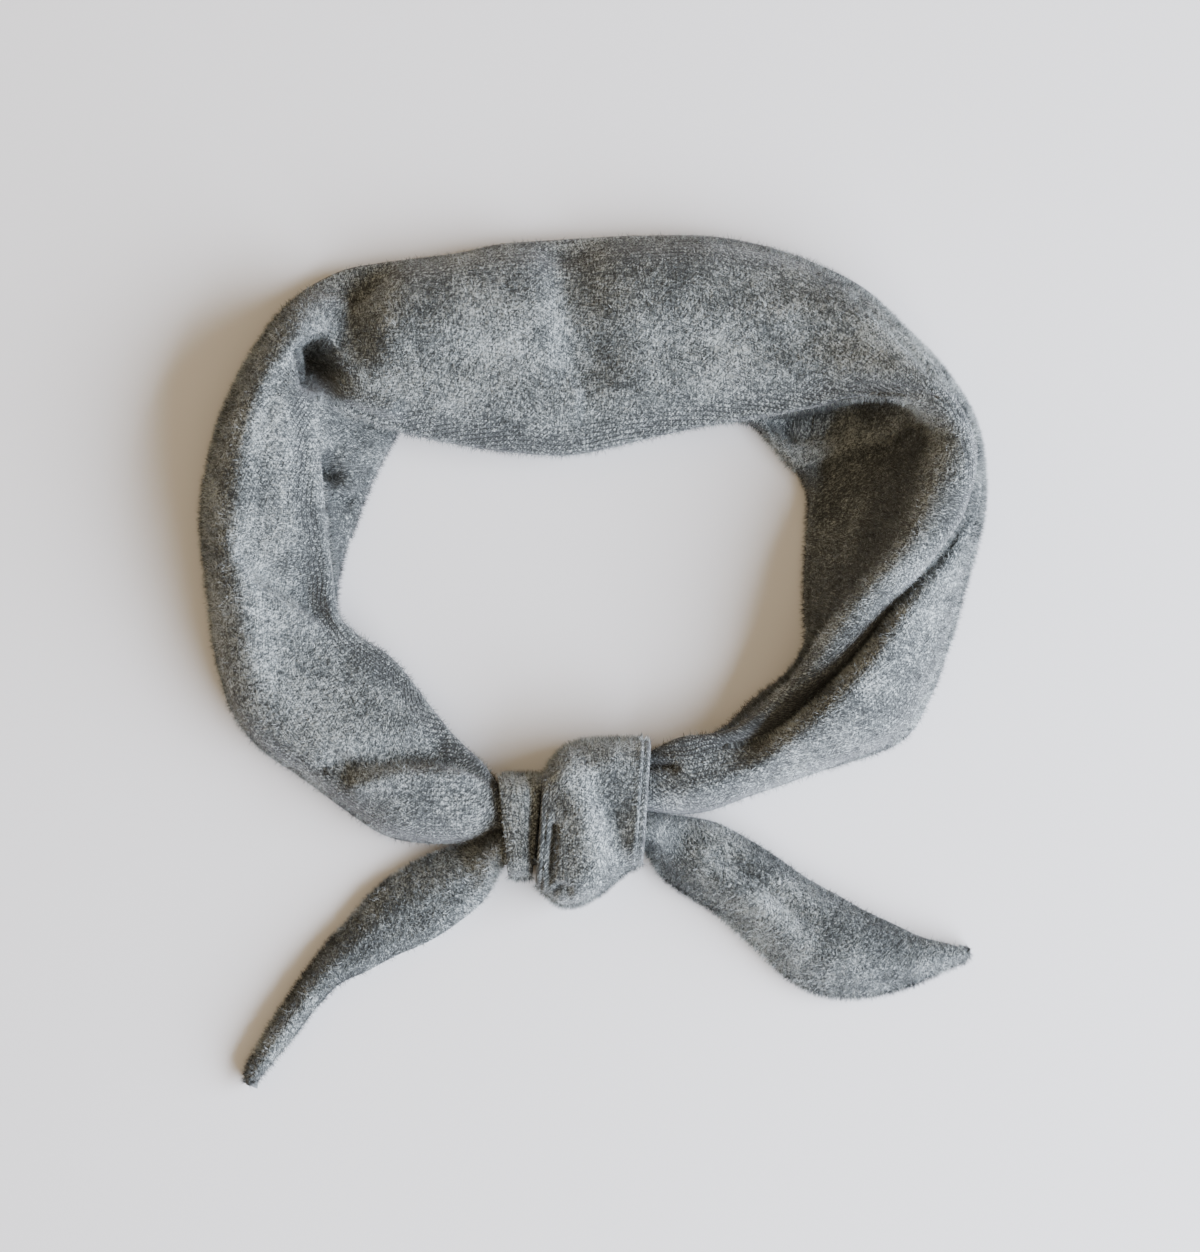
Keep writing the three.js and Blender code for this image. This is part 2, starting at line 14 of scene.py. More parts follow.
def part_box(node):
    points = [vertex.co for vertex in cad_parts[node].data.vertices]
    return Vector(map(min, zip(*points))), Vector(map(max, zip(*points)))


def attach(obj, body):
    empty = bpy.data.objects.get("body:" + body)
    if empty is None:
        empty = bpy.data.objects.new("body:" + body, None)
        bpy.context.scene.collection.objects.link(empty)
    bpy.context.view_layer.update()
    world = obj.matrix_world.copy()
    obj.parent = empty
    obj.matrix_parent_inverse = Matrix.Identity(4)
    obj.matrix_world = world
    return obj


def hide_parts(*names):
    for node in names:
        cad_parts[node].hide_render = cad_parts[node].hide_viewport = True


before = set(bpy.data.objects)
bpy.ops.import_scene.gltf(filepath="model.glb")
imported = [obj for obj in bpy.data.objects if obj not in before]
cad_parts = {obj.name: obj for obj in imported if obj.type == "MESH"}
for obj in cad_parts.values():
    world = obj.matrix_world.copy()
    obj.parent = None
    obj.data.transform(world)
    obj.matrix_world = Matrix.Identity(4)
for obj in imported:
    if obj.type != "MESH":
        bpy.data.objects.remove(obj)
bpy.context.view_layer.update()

log = logging.getLogger("neckerchief")
Array = np.ndarray
MM = 0.001

# The cloth: one layer of felted knit, and the air between two layers that lie on each other
WALL = 2.2 * MM
WALL_LEAST = 0.3 * MM
WALL_ADDED = 0.92  # the modifier's wall, as a share of the solid's
LAYER_GAP = 0.35 * MM
CLEARANCE = 0.4 * MM
FOLD_RADIUS = WALL / 2 + LAYER_GAP
EDGE_RADIUS = 2.6 * MM
WALE = 1.4 * MM
COURSE = 1.15 * MM

# The neck loop, as the solids have it
LOOP_WIDTH = 225.3 * MM
LOOP_DEPTH = 172.1 * MM
LOOP_MIDDLE = 0.38 * MM
LOOP_FRONT = -49.16 * MM
BAND_HEIGHT = 33 * MM

# The knot, whose turns stand where their solids do
SMALL_LOW, SMALL_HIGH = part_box("knot_wrap_small")
LARGE_LOW, LARGE_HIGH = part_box("knot_wrap_large")
KNOT_MIDDLE = Vector(((SMALL_LOW.x + LARGE_HIGH.x) / 2, -43.02 * MM))
KNOT_HEIGHT = 16 * MM
KNOT_FLOOR = WALL + CLEARANCE
KNOT_HALF = (LARGE_HIGH.x - SMALL_LOW.x) / 2
STRAND_HEIGHT = KNOT_HEIGHT - 2 * KNOT_FLOOR
STRAND_LEAD = 2 * CLEARANCE
SMALL_DEPTH = 29.3 * MM
LARGE_DEPTH = 48 * MM
LARGE_RISE = 6 * MM

# How the knot's ends share their room between the band and the tail
LEFT_BAND_SHARE = 0.56
RIGHT_BAND_SHARE = 0.62

# How much rounder a turn's shoulders grow as it swells, and from which share of the knot's height
TURN_SOFTNESS = 0.7
TURN_SWELLS_FROM = 0.9

# The band where it is gathered in the knot, in shares of its width, its height and a wall there
STRAND_CREST_AT = 0.38
STRAND_VALLEY_AT = 0.66
STRAND_RIDGE_RISE = 0.66
STRAND_TUCK = 0.6

# The band's shoulder, as shares of the way and of the rise from its hem to its crest
SHOULDER_AT = 0.3
SHOULDER_RISE = 0.62

# The brink over the slit: its share of the crest's extra height, and the lip that brings it in fully
BRINK_RISE = 0.8
LIP_FULL = 0.5 * MM

# How far across and down the inner face goes for each length that it rolls over, and hanging in fully
ROLL_ACROSS, ROLL_DOWN = 1.9, 0.4
SINK_ACROSS, SINK_DOWN = 4.5 * MM, 7 * MM

# A fold starts to open where the cosine between its sides is under the first value, and is open
# fully where it is lower by the second
OPENS_UNDER, OPENS_OVER = 0.1, 0.5

# The tails
TAIL_PUFF = 6 * MM
# A tail's upper layer, from its fold to its free edge: three places across, as shares of its width,
# and the last one's share of the puff
CROWN_NEAR, CROWN_CREASED, CROWN_FAR, CROWN_FAR_RISE = 0.34, 0.6, 0.82, 0.75

# Noises that make the cloth uneven and cloudy: weight (of a mm in the first), size, and which of the
# three places its seed takes among the numbers it is read from
SWELLS = ((0.55, 24 * MM, 0, (0, 0, 0)), (0.22, 9 * MM, 1, (0, 0, 0)), (0.07, 3.5 * MM, 2, (0, 0, 0)))
CLOUDS = ((0.36, 17 * MM, 0, (0, 3, 1)), (0.4, 7 * MM, 1, (2, 0, 5)), (0.34, 3.2 * MM, 2, (7, 1, 0)))


@dataclass(frozen=True)
class BandSection:
    """One section of the band: places in shares of the loop, heights in shares of the band's."""

    hem_x: float
    hem_y: float
    crest_at: float
    crest_z: float
    valley_at: float
    valley_z: float
    ridge_x: float
    ridge_y: float
    ridge_z: float
    foot_x: float
    foot_y: float
    bow: float
    tuck: float


@dataclass(frozen=True)
class TailSection:
    """One section of a tail: its near edge in shares of the length, across in shares of the width."""

    near_at: float
    near_aside: float
    across_ahead: float
    across_aside: float
    puff: float
    crease: float


@dataclass(frozen=True)
class TurnSection:
    """One section of a turn of the knot: edges in shares of its depth, tall in shares of its rise."""

    at: float
    low: float
    high: float
    tall: float


@dataclass(frozen=True)
class Crease:
    """A groove in a cloth's outside, or a roll where deep is negative, along a line in plan.

    The widths are those on the left and the right of the line, seen along it. Lengths in mm.
    """

    from_x: float
    from_y: float
    to_x: float
    to_y: float
    left: float
    right: float
    deep: float


@dataclass(frozen=True)
class LightAndYarnPatch:
    """A patch of lighter or darker tone, its middle and its half widths in plan, in mm; most are painted
    shade and highlight.
    """

    x: float
    y: float
    wide: float
    deep: float
    tone: float


@dataclass(frozen=True)
class Seam:
    """A sewn line in plan, in mm."""

    from_x: float
    from_y: float
    to_x: float
    to_y: float


BAND_SECTIONS = [BandSection(*row) for row in (
    # hem_x  hem_y  crest_at crest_z valley_at valley_z ridge_x ridge_y ridge_z foot_x foot_y bow tuck
    (-0.313, -0.02, 0.42, 0.45, 0.75, 0.42, -0.279, 0.115, 0.36, -0.279, 0.106, 0.2, 1),
    (-0.416, -0.023, 0.4, 0.48, 0.75, 0.43, -0.344, 0.156, 0.34, -0.354, 0.147, 0.2, 1),
    (-0.532, -0.011, 0.36, 0.5, 0.75, 0.42, -0.398, 0.198, 0.31, -0.411, 0.187, 0.1, 1),
    (-0.75, 0.09, 0.3, 0.49, 0.72, 0.4, -0.514, 0.292, 0.29, -0.532, 0.279, 0, 1),
    (-0.858, 0.142, 0.28, 0.48, 0.7, 0.4, -0.601, 0.329, 0.29, -0.622, 0.316, 0, 1),
    (-0.928, 0.205, 0.28, 0.5, 0.7, 0.41, -0.645, 0.36, 0.31, -0.658, 0.353, 0, 1),
    (-0.987, 0.395, 0.3, 0.62, 0.7, 0.5, -0.671, 0.454, 0.42, -0.642, 0.454, -0.6, 1),
    (-1.005, 0.513, 0.32, 0.68, 0.7, 0.58, -0.686, 0.505, 0.47, -0.611, 0.508, -1, 1),
    (-0.987, 0.606, 0.33, 0.7, 0.72, 0.6, -0.704, 0.588, 0.5, -0.57, 0.579, -1.2, 1),
    (-0.951, 0.687, 0.34, 0.7, 0.72, 0.62, -0.719, 0.669, 0.5, -0.534, 0.626, -1.2, 1),
    (-0.887, 0.782, 0.36, 0.66, 0.72, 0.6, -0.722, 0.717, 0.46, -0.514, 0.649, -1, 1),
    (-0.776, 0.887, 0.38, 0.6, 0.72, 0.52, -0.694, 0.71, 0.4, -0.501, 0.669, -0.6, 1),
    (-0.66, 0.937, 0.38, 0.54, 0.72, 0.46, -0.616, 0.695, 0.34, -0.493, 0.683, -0.2, 1),
    (-0.532, 0.953, 0.38, 0.52, 0.72, 0.44, -0.506, 0.671, 0.3, -0.462, 0.68, 0, 1),
    (-0.369, 0.968, 0.38, 0.52, 0.74, 0.44, -0.377, 0.651, 0.27, -0.364, 0.669, 0, 1),
    (-0.21, 0.987, 0.38, 0.51, 0.74, 0.43, -0.223, 0.635, 0.26, -0.215, 0.656, 0, 1),
    (-0.042, 0.995, 0.38, 0.5, 0.74, 0.42, -0.055, 0.628, 0.26, -0.05, 0.653, 0, 1),
    (0.125, 1, 0.38, 0.52, 0.74, 0.43, 0.117, 0.651, 0.27, 0.115, 0.669, 0, 1),
    (0.292, 0.998, 0.4, 0.54, 0.74, 0.46, 0.279, 0.675, 0.3, 0.279, 0.683, 0, 0.5),
    (0.434, 0.984, 0.42, 0.57, 0.74, 0.5, 0.447, 0.693, 0.36, 0.413, 0.683, 0, 0),
    (0.568, 0.953, 0.34, 0.62, 0.74, 0.58, 0.588, 0.712, 0.46, 0.465, 0.649, -0.3, -0.6),
    (0.699, 0.901, 0.28, 0.7, 0.74, 0.76, 0.712, 0.725, 0.64, 0.506, 0.615, -0.5, -1.2),
    (0.794, 0.838, 0.26, 0.76, 0.72, 0.88, 0.807, 0.725, 0.8, 0.537, 0.597, -0.6, -1.3),
    (0.884, 0.771, 0.26, 0.76, 0.7, 0.94, 0.876, 0.71, 0.92, 0.552, 0.579, -0.6, -1.1),
    (0.954, 0.703, 0.26, 0.66, 0.66, 0.92, 0.931, 0.673, 0.98, 0.56, 0.555, -0.4, 0.5),
    (0.99, 0.622, 0.3, 0.5, 0.64, 0.78, 0.961, 0.622, 1, 0.557, 0.518, -0.2, 1),
    (0.997, 0.534, 0.45, 0.6, 0.8, 0.42, 0.928, 0.53, 1, 0.552, 0.471, 0, 1),
    (0.972, 0.446, 0.56, 0.66, 0.86, 0.26, 0.858, 0.466, 0.97, 0.547, 0.421, 0.2, 1),
    (0.933, 0.34, 0.62, 0.84, 0.7, 0.2, 0.721, 0.379, 0.84, 0.547, 0.367, 0.3, 1),
    (0.879, 0.235, 0.64, 0.84, 0.7, 0.12, 0.617, 0.306, 0.7, 0.547, 0.311, 0.3, 1),
    (0.807, 0.154, 0.66, 0.8, 0.71, 0.1, 0.533, 0.249, 0.52, 0.501, 0.262, 0.2, 1),
    (0.686, 0.12, 0.58, 0.68, 0.65, 0.12, 0.449, 0.204, 0.42, 0.413, 0.218, 0.2, 1),
    (0.557, 0.093, 0.48, 0.56, 0.74, 0.26, 0.378, 0.17, 0.42, 0.346, 0.174, 0.1, 1),
    (0.421, 0.059, 0.36, 0.46, 0.8, 0.36, 0.31, 0.16, 0.4, 0.3, 0.154, 0, 1),
    (0.279, 0.029, 0.3, 0.44, 0.74, 0.4, 0.215, 0.154, 0.37, 0.21, 0.146, 0, 1),
)]


@dataclass(frozen=True)
class InnerFace:
    """How the inner face leaves the ridge from one section of the band on.

    Broad is how far it rolls over and sink how far it hangs in under the ridge, in shares. Slope
    is how far the ridge's other side slopes down to the slit, and lip how far the roll beside the
    slit overhangs it, in mm.
    """

    section: int
    broad: float
    sink: float
    slope: float
    lip: float


INNER_FACES = [InnerFace(*row) for row in (
    # section broad sink slope lip (sections 28 to 31 make the slit)
    (0, 0, 0, 0, 0),
    (13, 0, 0, 0, 0),
    (18, 0, 0.15, 0, 0),
    (20, 0, 0.75, 0, 0),
    (22, 0, 0.85, 0, 0),
    (24, 0.2, 0.6, 0, 0),
    (26, 0.8, 0.2, 0, 0),
    (27, 0.7, 0, 0.6, 0),
    (28, 0.5, 0, 2.8, 0.5),
    (29, 0.3, 0, 1.8, 0.6),
    (30, 0.1, 0, 0.3, 1),
    (31, 0, 0, 0, 1),
    (32, 0, 0, 0, 0),
    (34, 0, 0, 0, 0),
)]
INNER_ROLL = 5 * MM
# The lower edge of the strip at the inner face's top, in mm: where along x, and how far up
STRIP_EDGE = ((57, 81, 97), (54, 61, 68))
# The strip along x: where it starts, where it ends and over what it fades; and up from its edge:
# how soft the edge is, how far it stays and over what it fades
STRIP_FROM, STRIP_TO, STRIP_FADE = 50 * MM, 100 * MM, 8 * MM
STRIP_SOFT, STRIP_STAYS, STRIP_TAPER = 0.8 * MM, 7 * MM, 5 * MM
# What the inner face adds to its tone: painted light on the strip, painted shade all over, more painted
# shade left of the middle and in the pocket under the ridge
STRIP_PAINTED_LIGHT, INNER_PAINTED_SHADE, LEFT_PAINTED_SHADE, POCKET_PAINTED_SHADE = 0.62, -0.34, -0.18, -0.6
# Columns of the inner face: over how many its painted shade and light come in, and the pocket's middle and
# width
TURNED_OVER, POCKET_AT, POCKET_WIDE = 4, 4, 3

# Folds of the band's outer face that the sections don't hold, in mm of the row frame
BAND_CREASES = [Crease(*row) for row in (
    # from_x from_y to_x  to_y   left  right deep
    (-68, 112, -70, 94, 8, 9, 9),
    (-70, 96, -75, 86, 6, 6, 5),
    (-79.6, 88, -78, 80.5, 6.5, 3, 17),
    (-77, 77, -58, 72, 3, 3.4, -4.2),
    (-8.6, 121, -4.4, 84, 12, 5.5, 3.4),
    (-99, 29.6, -92, 22, 8, 2.4, 3),
    (-92, 22, -74, 11.4, 8, 2.2, 4.4),
    (-71, -31.6, -57.2, -28.8, 5, 2, 4.4),
    (-57.2, -28.8, -43.3, -27.8, 5, 2, 5),
    (-43.3, -27.8, -30, -31, 4.5, 2, 4.4),
    (-66, -35.6, -54, -33.4, 3, 3.4, -2),
    (-54, -33.4, -38, -33.4, 3, 3.4, -2),
    (15.2, -29.4, 23, -30.4, 1.3, 1.9, 3.2),
    (76.8, 103.6, 87.6, 92.9, 0.9, 0.9, 2.2),
    (87.6, 92.9, 97.8, 81.3, 0.9, 0.9, 2.2),
)]
INNER_CREASES = [Crease(*row) for row in (
    # from_x from_y to_x  to_y   left  right deep
    (58, 54.4, 81, 61, 1.1, 6, 3.2),
    (81, 61, 97, 68, 1.1, 6, 3),
    (53, 65, 82, 72, 3, 3.4, 5),
    (82, 72, 97, 71.6, 3, 3.4, 5),
    (-77, 56, -75.4, 53, 2.6, 3, 8),
    (-71, 57, -69, 52, 4, 4, -1.8),
    (-76, 46, -62, 45, 2.2, 2.6, 1.6),
)]

# Folds of the knot's front turn
KNOT_CREASES = [Crease(*row) for row in (
    # from_x from_y to_x to_y   left right deep
    (-0.5, -29, 6.3, -43.6, 5, 5, 2.2),
    (6.3, -43.6, 9, -57, 3.6, 5, 2.8),
    (-8, -35, 2.6, -51, 4, 4, -1.2),
    (2.6, -51, 2, -64, 4, 4, -1.2),
    (-10.4, -48, -11.6, -63, 1, 1.4, 3),
    (-9.6, -65.4, -6.6, -66.2, 1.6, 1.6, 2.4),
)]
SMALL_CREASES = [Crease(*row) for row in (
    # from_x from_y to_x to_y   left right deep
    (-16.9, -35, -16.6, -61, 1.1, 1.3, 0.9),
)]

# Sewn lines, in mm of the row frame
BAND_SEAMS = [Seam(*row) for row in (
    # from_x from_y to_x to_y
    (-106.8, 26.8, -101.4, 20.2),
    (-90.2, -23.4, -79, -31),
    (-79, -31, -68.4, -36.8),
)]
KNOT_SEAMS = [Seam(*row) for row in (
    # from_x from_y to_x to_y
    (-12.4, -47, -13.6, -62.5),
    (15.4, -26, 14.2, -46),
    (14.2, -46, 13.4, -58),
)]

# Patches of painted shade and painted highlight, with a few lighter and darker spots of the cloth's own
# tone, in mm of the row frame
LIGHT_AND_YARN_PATCHES = [LightAndYarnPatch(*row) for row in (
    # x    y    wide  deep  tone
    # painted shade on the far flank of the top band's middle valley
    (7, 93, 9, 13, -0.18),
    # lighter over the top band's left half
    (-32, 95, 15, 13, 0.1),
    # painted highlight on the top band's upper right
    (88, 93, 13, 11, 0.42),
    # a lighter and a darker patch on the band's lower right
    (61, -35, 14, 8, 0.1),
    (88, -22, 7, 6, -0.14),
    # painted shade on the dark flank and in the hollow of the top left corner
    (-63, 98, 8, 11, -0.2),
    (-78.5, 84, 5, 5.5, -1.2),
    # painted shade at the right tail's root
    (21.5, -51, 6, 5, -0.34),
    # darker over the right tail's far side: partly the yarn's own tone, partly painted shade
    (25, -65, 9, 7, -0.42),
    (33, -72, 7, 5, -0.4),
    (52, -59, 10, 7, -0.4),
    (70, -70, 11, 8, -0.36),
    (86, -82, 14, 9, -0.46),
    (103, -86, 8, 5, -0.36),
    # painted highlight along the right tail's crest
    (38, -59, 7, 8, 0.24),
    (48, -74, 8, 9, 0.34),
    # darker over the left tail as a whole, and a lighter spot by the knot's left end
    (-62, -88, 30, 28, -0.34),
    (-26, -61, 7, 6, 0.4),
    # painted shade in the dimple beside the left ridge
    (-76, 55, 2.8, 3.4, -0.8),
    # painted shade above the left panel's diagonal fold and painted highlight below it
    (-87, 28, 8, 5, -0.26),
    (-79, 19, 7, 5, -0.3),
    (-99, 22, 7, 6, 0.22),
    (-88, 12, 8, 5, 0.22),
    # on the knot's front turn: painted light on its left flank and bead, painted shade in its groove and
    # painted highlight on its crest
    (-11.5, -46, 2.6, 16, 0.25),
    (6.5, -42, 4.5, 13, -0.55),
    (0, -52, 5, 8, 0.12),
)]

SMALL_SECTIONS = [TurnSection(*row) for row in (
    # at low     high   tall
    (0, -0.66, 0.322, -0.06),
    (0.3, -0.675, 0.33, 0.12),
    (0.7, -0.675, 0.33, 0.2),
    (1, -0.672, 0.328, 0.1),
)]
LARGE_SECTIONS = [TurnSection(*row) for row in (
    # at low     high   tall
    (0, -0.45, 0.215, 0.5),
    (0.1, -0.5, 0.3, 0.6),
    (0.17, -0.545, 0.35, 0.68),
    (0.26, -0.578, 0.385, 0.8),
    (0.4, -0.572, 0.404, 0.95),
    (0.58, -0.505, 0.41, 0.78),
    (0.74, -0.415, 0.41, 0.55),
    (0.9, -0.34, 0.408, 0.45),
    (1, -0.315, 0.396, 0.3),
)]

TAIL_LEFT_SECTIONS = [TailSection(*row) for row in (
    # near_at near_aside across_ahead across_aside puff crease
    (0.09, -0.035, 0.36, 0.67, 0.5, 0),
    (0.16, -0.076, 0.4, 0.85, 0.5, 0),
    (0.26, -0.112, 0.44, 0.91, 0.46, 0),
    (0.36, -0.126, 0.4, 0.8, 0.42, 0),
    (0.48, -0.121, 0.27, 0.63, 0.4, 0),
    (0.58, -0.118, 0.2, 0.47, 0.4, 0),
    (0.68, -0.105, 0.15, 0.41, 0.4, 0),
    (0.77, -0.085, 0.18, 0.36, 0.36, 0),
    (0.86, -0.062, 0.15, 0.28, 0.3, 0),
    (0.95, -0.045, 0.02, 0.24, 0.2, 0),
    (0.985, -0.026, -0.01, 0.16, 0, 0),
    (0.996, -0.02, -0.01, 0.1, 0, 0),
)]
TAIL_RIGHT_SECTIONS = [TailSection(*row) for row in (
    # near_at near_aside across_ahead across_aside puff crease
    (0.1, 0.04, 0.06, -0.71, 0.6, 0.2),
    (0.19, 0.059, 0.07, -0.85, 0.8, 0.2),
    (0.28, 0.051, 0.04, -0.87, 0.95, 0.45),
    (0.39, 0.035, -0.04, -0.92, 1, 0.45),
    (0.49, 0.016, -0.09, -0.96, 1, 0.4),
    (0.59, 0.006, -0.08, -1.04, 0.9, 0.2),
    (0.68, -0.005, -0.04, -1, 0.9, 0.1),
    (0.77, -0.007, 0.06, -0.82, 0.7, 0),
    (0.86, -0.008, 0.08, -0.55, 0.5, 0),
    (0.93, 0.002, 0.11, -0.27, 0.2, 0),
    (0.98, 0.009, 0.06, -0.13, 0, 0),
    (0.992, 0.012, 0.03, -0.075, 0, 0),
)]


def column(rows: Sequence, name: str) -> Array:
    """The named value of every row."""
    return np.array([getattr(row, name) for row in rows], float)


def unit(vectors: Array) -> Array:
    """Vectors of length one along the given ones."""
    return vectors / np.maximum(np.linalg.norm(vectors, axis=-1, keepdims=True), 1e-12)


def at_height(points: Array, height: Array | float) -> Array:
    """Puts points at another height.

    Args:
        points: the points.
        height: the new height of each or of all.

    Returns:
        The moved points.
    """
    moved = points.copy()
    moved[..., 2] = height
    return moved


def plan(x: Array | float, y: Array | float, z: Array | float = 0.0) -> Array:
    """Points from their coordinates."""
    return np.stack(np.broadcast_arrays(*(np.asarray(v, float) for v in (x, y, z))), axis=-1)


def smooth(keys: Array, places: Array) -> Array:
    """Reads a smooth line through keys, which neither overshoots nor loops between them.

    Args:
        keys: the keys, counted on the first axis, with x, y and z on the last.
        places: where to read it, counted in keys.

    Returns:
        The points, one for each place on the first axis.
    """
    line = np.concatenate([2 * keys[:1] - keys[1:2], keys, 2 * keys[-1:] - keys[-2:-1]])
    span = np.minimum(places.astype(int), len(keys) - 2)
    share = (places - span).reshape((-1,) + (1,) * (keys.ndim - 1))
    p = [line[span + k] for k in range(4)]
    near, here, far = (
        np.maximum(np.linalg.norm(p[k + 1] - p[k], axis=-1, keepdims=True), 1e-9) ** 0.5
        for k in range(3)
    )
    out = ((p[1] - p[0]) / near - (p[2] - p[0]) / (near + here) + (p[2] - p[1]) / here) * here
    into = ((p[2] - p[1]) / here - (p[3] - p[1]) / (here + far) + (p[3] - p[2]) / far) * here
    rise = p[2] - p[1]
    return p[1] + share * (out + share * (3 * rise - 2 * out - into + share * (out + into - 2 * rise)))


def evenly(points: Array, steps: int) -> Array:
    """Reads a line again at points that lie evenly along it.

    Args:
        points: the line.
        steps: how many equal steps it gets.

    Returns:
        The new line, one point more than its steps.
    """
    run = np.concatenate([[0], np.cumsum(np.linalg.norm(np.diff(points, axis=0), axis=1))])
    wanted = np.linspace(0, run[-1], steps + 1)
    return np.stack([np.interp(wanted, run, points[:, k]) for k in range(3)], axis=1)


def loft(rows: Array, stations: int, zones: Sequence[tuple[int, int, int]]) -> Array:
    """Lofts a cloth through sections.

    Args:
        rows: the keys of each section, sections first.
        stations: how many steps the cloth has along its length.
        zones: for each stretch across it, its first key, its last key and its steps.

    Returns:
        The grid of points, along by across.
    """
    fine = np.linspace(0, len(rows) - 1, 24 * len(rows))
    middle = smooth(rows[:, [0, zones[0][1]]].mean(axis=1), fine)
    run = np.concatenate([[0], np.cumsum(np.linalg.norm(np.diff(middle, axis=0), axis=1))])
    places = np.interp(np.linspace(0, run[-1], stations + 1), run, fine)
    keys = smooth(rows, places).transpose(1, 0, 2)
    grid = []
    for first, last, steps in zones:
        lines = smooth(keys, np.linspace(first, last, 12 * (last - first) + 1))
        even = np.stack([evenly(lines[:, s], steps) for s in range(stations + 1)])
        grid.append(even if not grid else even[:, 1:])
    return np.concatenate(grid, axis=1)


def outward(grid: Array) -> Array:
    """The direction out of the cloth at each point of a grid."""
    return unit(np.cross(np.gradient(grid, axis=1), np.gradient(grid, axis=0)))


def outward_at_top(grid: Array) -> Array:
    """The direction out of the cloth, whichever way round its grid runs.

    Args:
        grid: the cloth's outside.

    Returns:
        The direction at each point, turned so that the highest one's points up.
    """
    away = outward(grid)
    if away[np.unravel_index(grid[..., 2].argmax(), grid.shape[:2])][2] < 0:
        away = -away
    return away


def mottled(grid: Array, base: float, waves: Sequence[tuple], seed: float) -> Array:
    """Adds up noises of several sizes at each point of a grid.

    Args:
        grid: the points.
        base: what each sum starts from.
        waves: for each noise its weight, its size, its seed's place and where it is read from.
        seed: what tells this cloth's noises from another's.

    Returns:
        The sum at each point.
    """
    starts = [Vector([seed if k == place else start[k] for k in range(3)]) for _, _, place, start in waves]
    sums = []
    for point in grid.reshape(-1, 3):
        total = base
        for (weight, size, _, _), start in zip(waves, starts):
            total += weight * noise.noise(Vector(point) / size + start)
        sums.append(total)
    return np.array(sums).reshape(grid.shape[:2])


def pressed(
    grid: Array, creases: Sequence[Crease], columns: slice, away: Array, fading: bool = True,
) -> Array:
    """Presses creases into some columns of a grid.

    Args:
        grid: the cloth's outside.
        creases: what is pressed in.
        columns: the columns that take it.
        away: the way that a roll rises, at each point.
        fading: whether they fade out at the first and the last column.

    Returns:
        The creased grid.
    """
    part = grid[:, columns]
    fade = np.clip(3 * np.sin(np.linspace(0, math.pi, part.shape[1])), 0, 1)[None, :]
    if not fading:
        fade = np.ones_like(fade)
    groove, roll = np.zeros(part.shape[:2]), np.zeros(part.shape[:2])
    for crease in creases:
        start = np.array([crease.from_x, crease.from_y]) * MM
        line = np.array([crease.to_x, crease.to_y]) * MM - start
        offset = part[..., :2] - start
        share = np.clip(offset @ line / (line @ line), 0, 1)
        gap = offset - share[..., None] * line
        side = line[0] * gap[..., 1] - line[1] * gap[..., 0]
        width = np.where(side > 0, crease.left, crease.right) * MM
        press = crease.deep * MM * np.exp(-((np.linalg.norm(gap, axis=-1) / width) ** 2))
        groove, roll = np.maximum(groove, press), np.minimum(roll, press)
    depth = groove + roll
    result = grid.copy()
    result[:, columns] -= (depth * fade)[..., None] * away[:, columns]
    return result


def rumpled(grid: Array, away: Array, seed: float) -> Array:
    """Gives a cloth the soft unevenness of its own: slow swells and small puckers.

    Args:
        grid: the cloth's outside.
        away: the way that a swell rises, at each point.
        seed: what tells this cloth's swells from another's.

    Returns:
        The uneven grid.
    """
    return grid + (mottled(grid, 0.0, SWELLS, seed) * MM)[..., None] * away


def on_the_table(grid: Array) -> Array:
    """Lifts what would lie below the surface up to it.

    Args:
        grid: the cloth's outside.

    Returns:
        The grid with no point under the table.
    """
    lifted = grid.copy()
    lifted[..., 2] = np.maximum(lifted[..., 2], 0.0)
    return lifted


def linear(code: str) -> tuple[float, float, float, float]:
    """Turns an sRGB hex colour into the linear one that shaders take."""
    parts = [int(code[k:k + 2], 16) / 255 for k in (1, 3, 5)]
    return (*(v / 12.92 if v <= 0.04045 else ((v + 0.055) / 1.055) ** 2.4 for v in parts), 1.0)


def add_node(tree: bpy.types.NodeTree, kind: str, inputs: dict, **settings) -> bpy.types.Node:
    """Adds a node with its settings, its values and its links.

    Args:
        tree: the tree that it joins.
        kind: the node's type.
        inputs: for each socket, by name or number, a value or the output that feeds it.
        settings: the node's own options.

    Returns:
        The node.
    """
    node = tree.nodes.new(kind)
    for name, value in settings.items():
        setattr(node, name, value)
    for socket, value in inputs.items():
        if isinstance(value, bpy.types.NodeSocket):
            tree.links.new(value, node.inputs[socket])
        else:
            node.inputs[socket].default_value = value
    return node


def new_material(name: str) -> tuple[bpy.types.Material, bpy.types.NodeTree, bpy.types.Node]:
    """Makes a material with a bare tree.

    Args:
        name: the material's name.

    Returns:
        The material, its tree and its output node.
    """
    material = bpy.data.materials.new(name)
    material.use_nodes = True
    material.node_tree.nodes.clear()
    return material, material.node_tree, material.node_tree.nodes.new("ShaderNodeOutputMaterial")


def put_in_scene(name: str, data: bpy.types.ID) -> bpy.types.Object:
    """Puts a mesh, a lamp or a camera into the scene.

    Args:
        name: the object's name.
        data: what it shows.

    Returns:
        The object.
    """
    item = bpy.data.objects.new(name, data)
    bpy.context.scene.collection.objects.link(item)
    return item


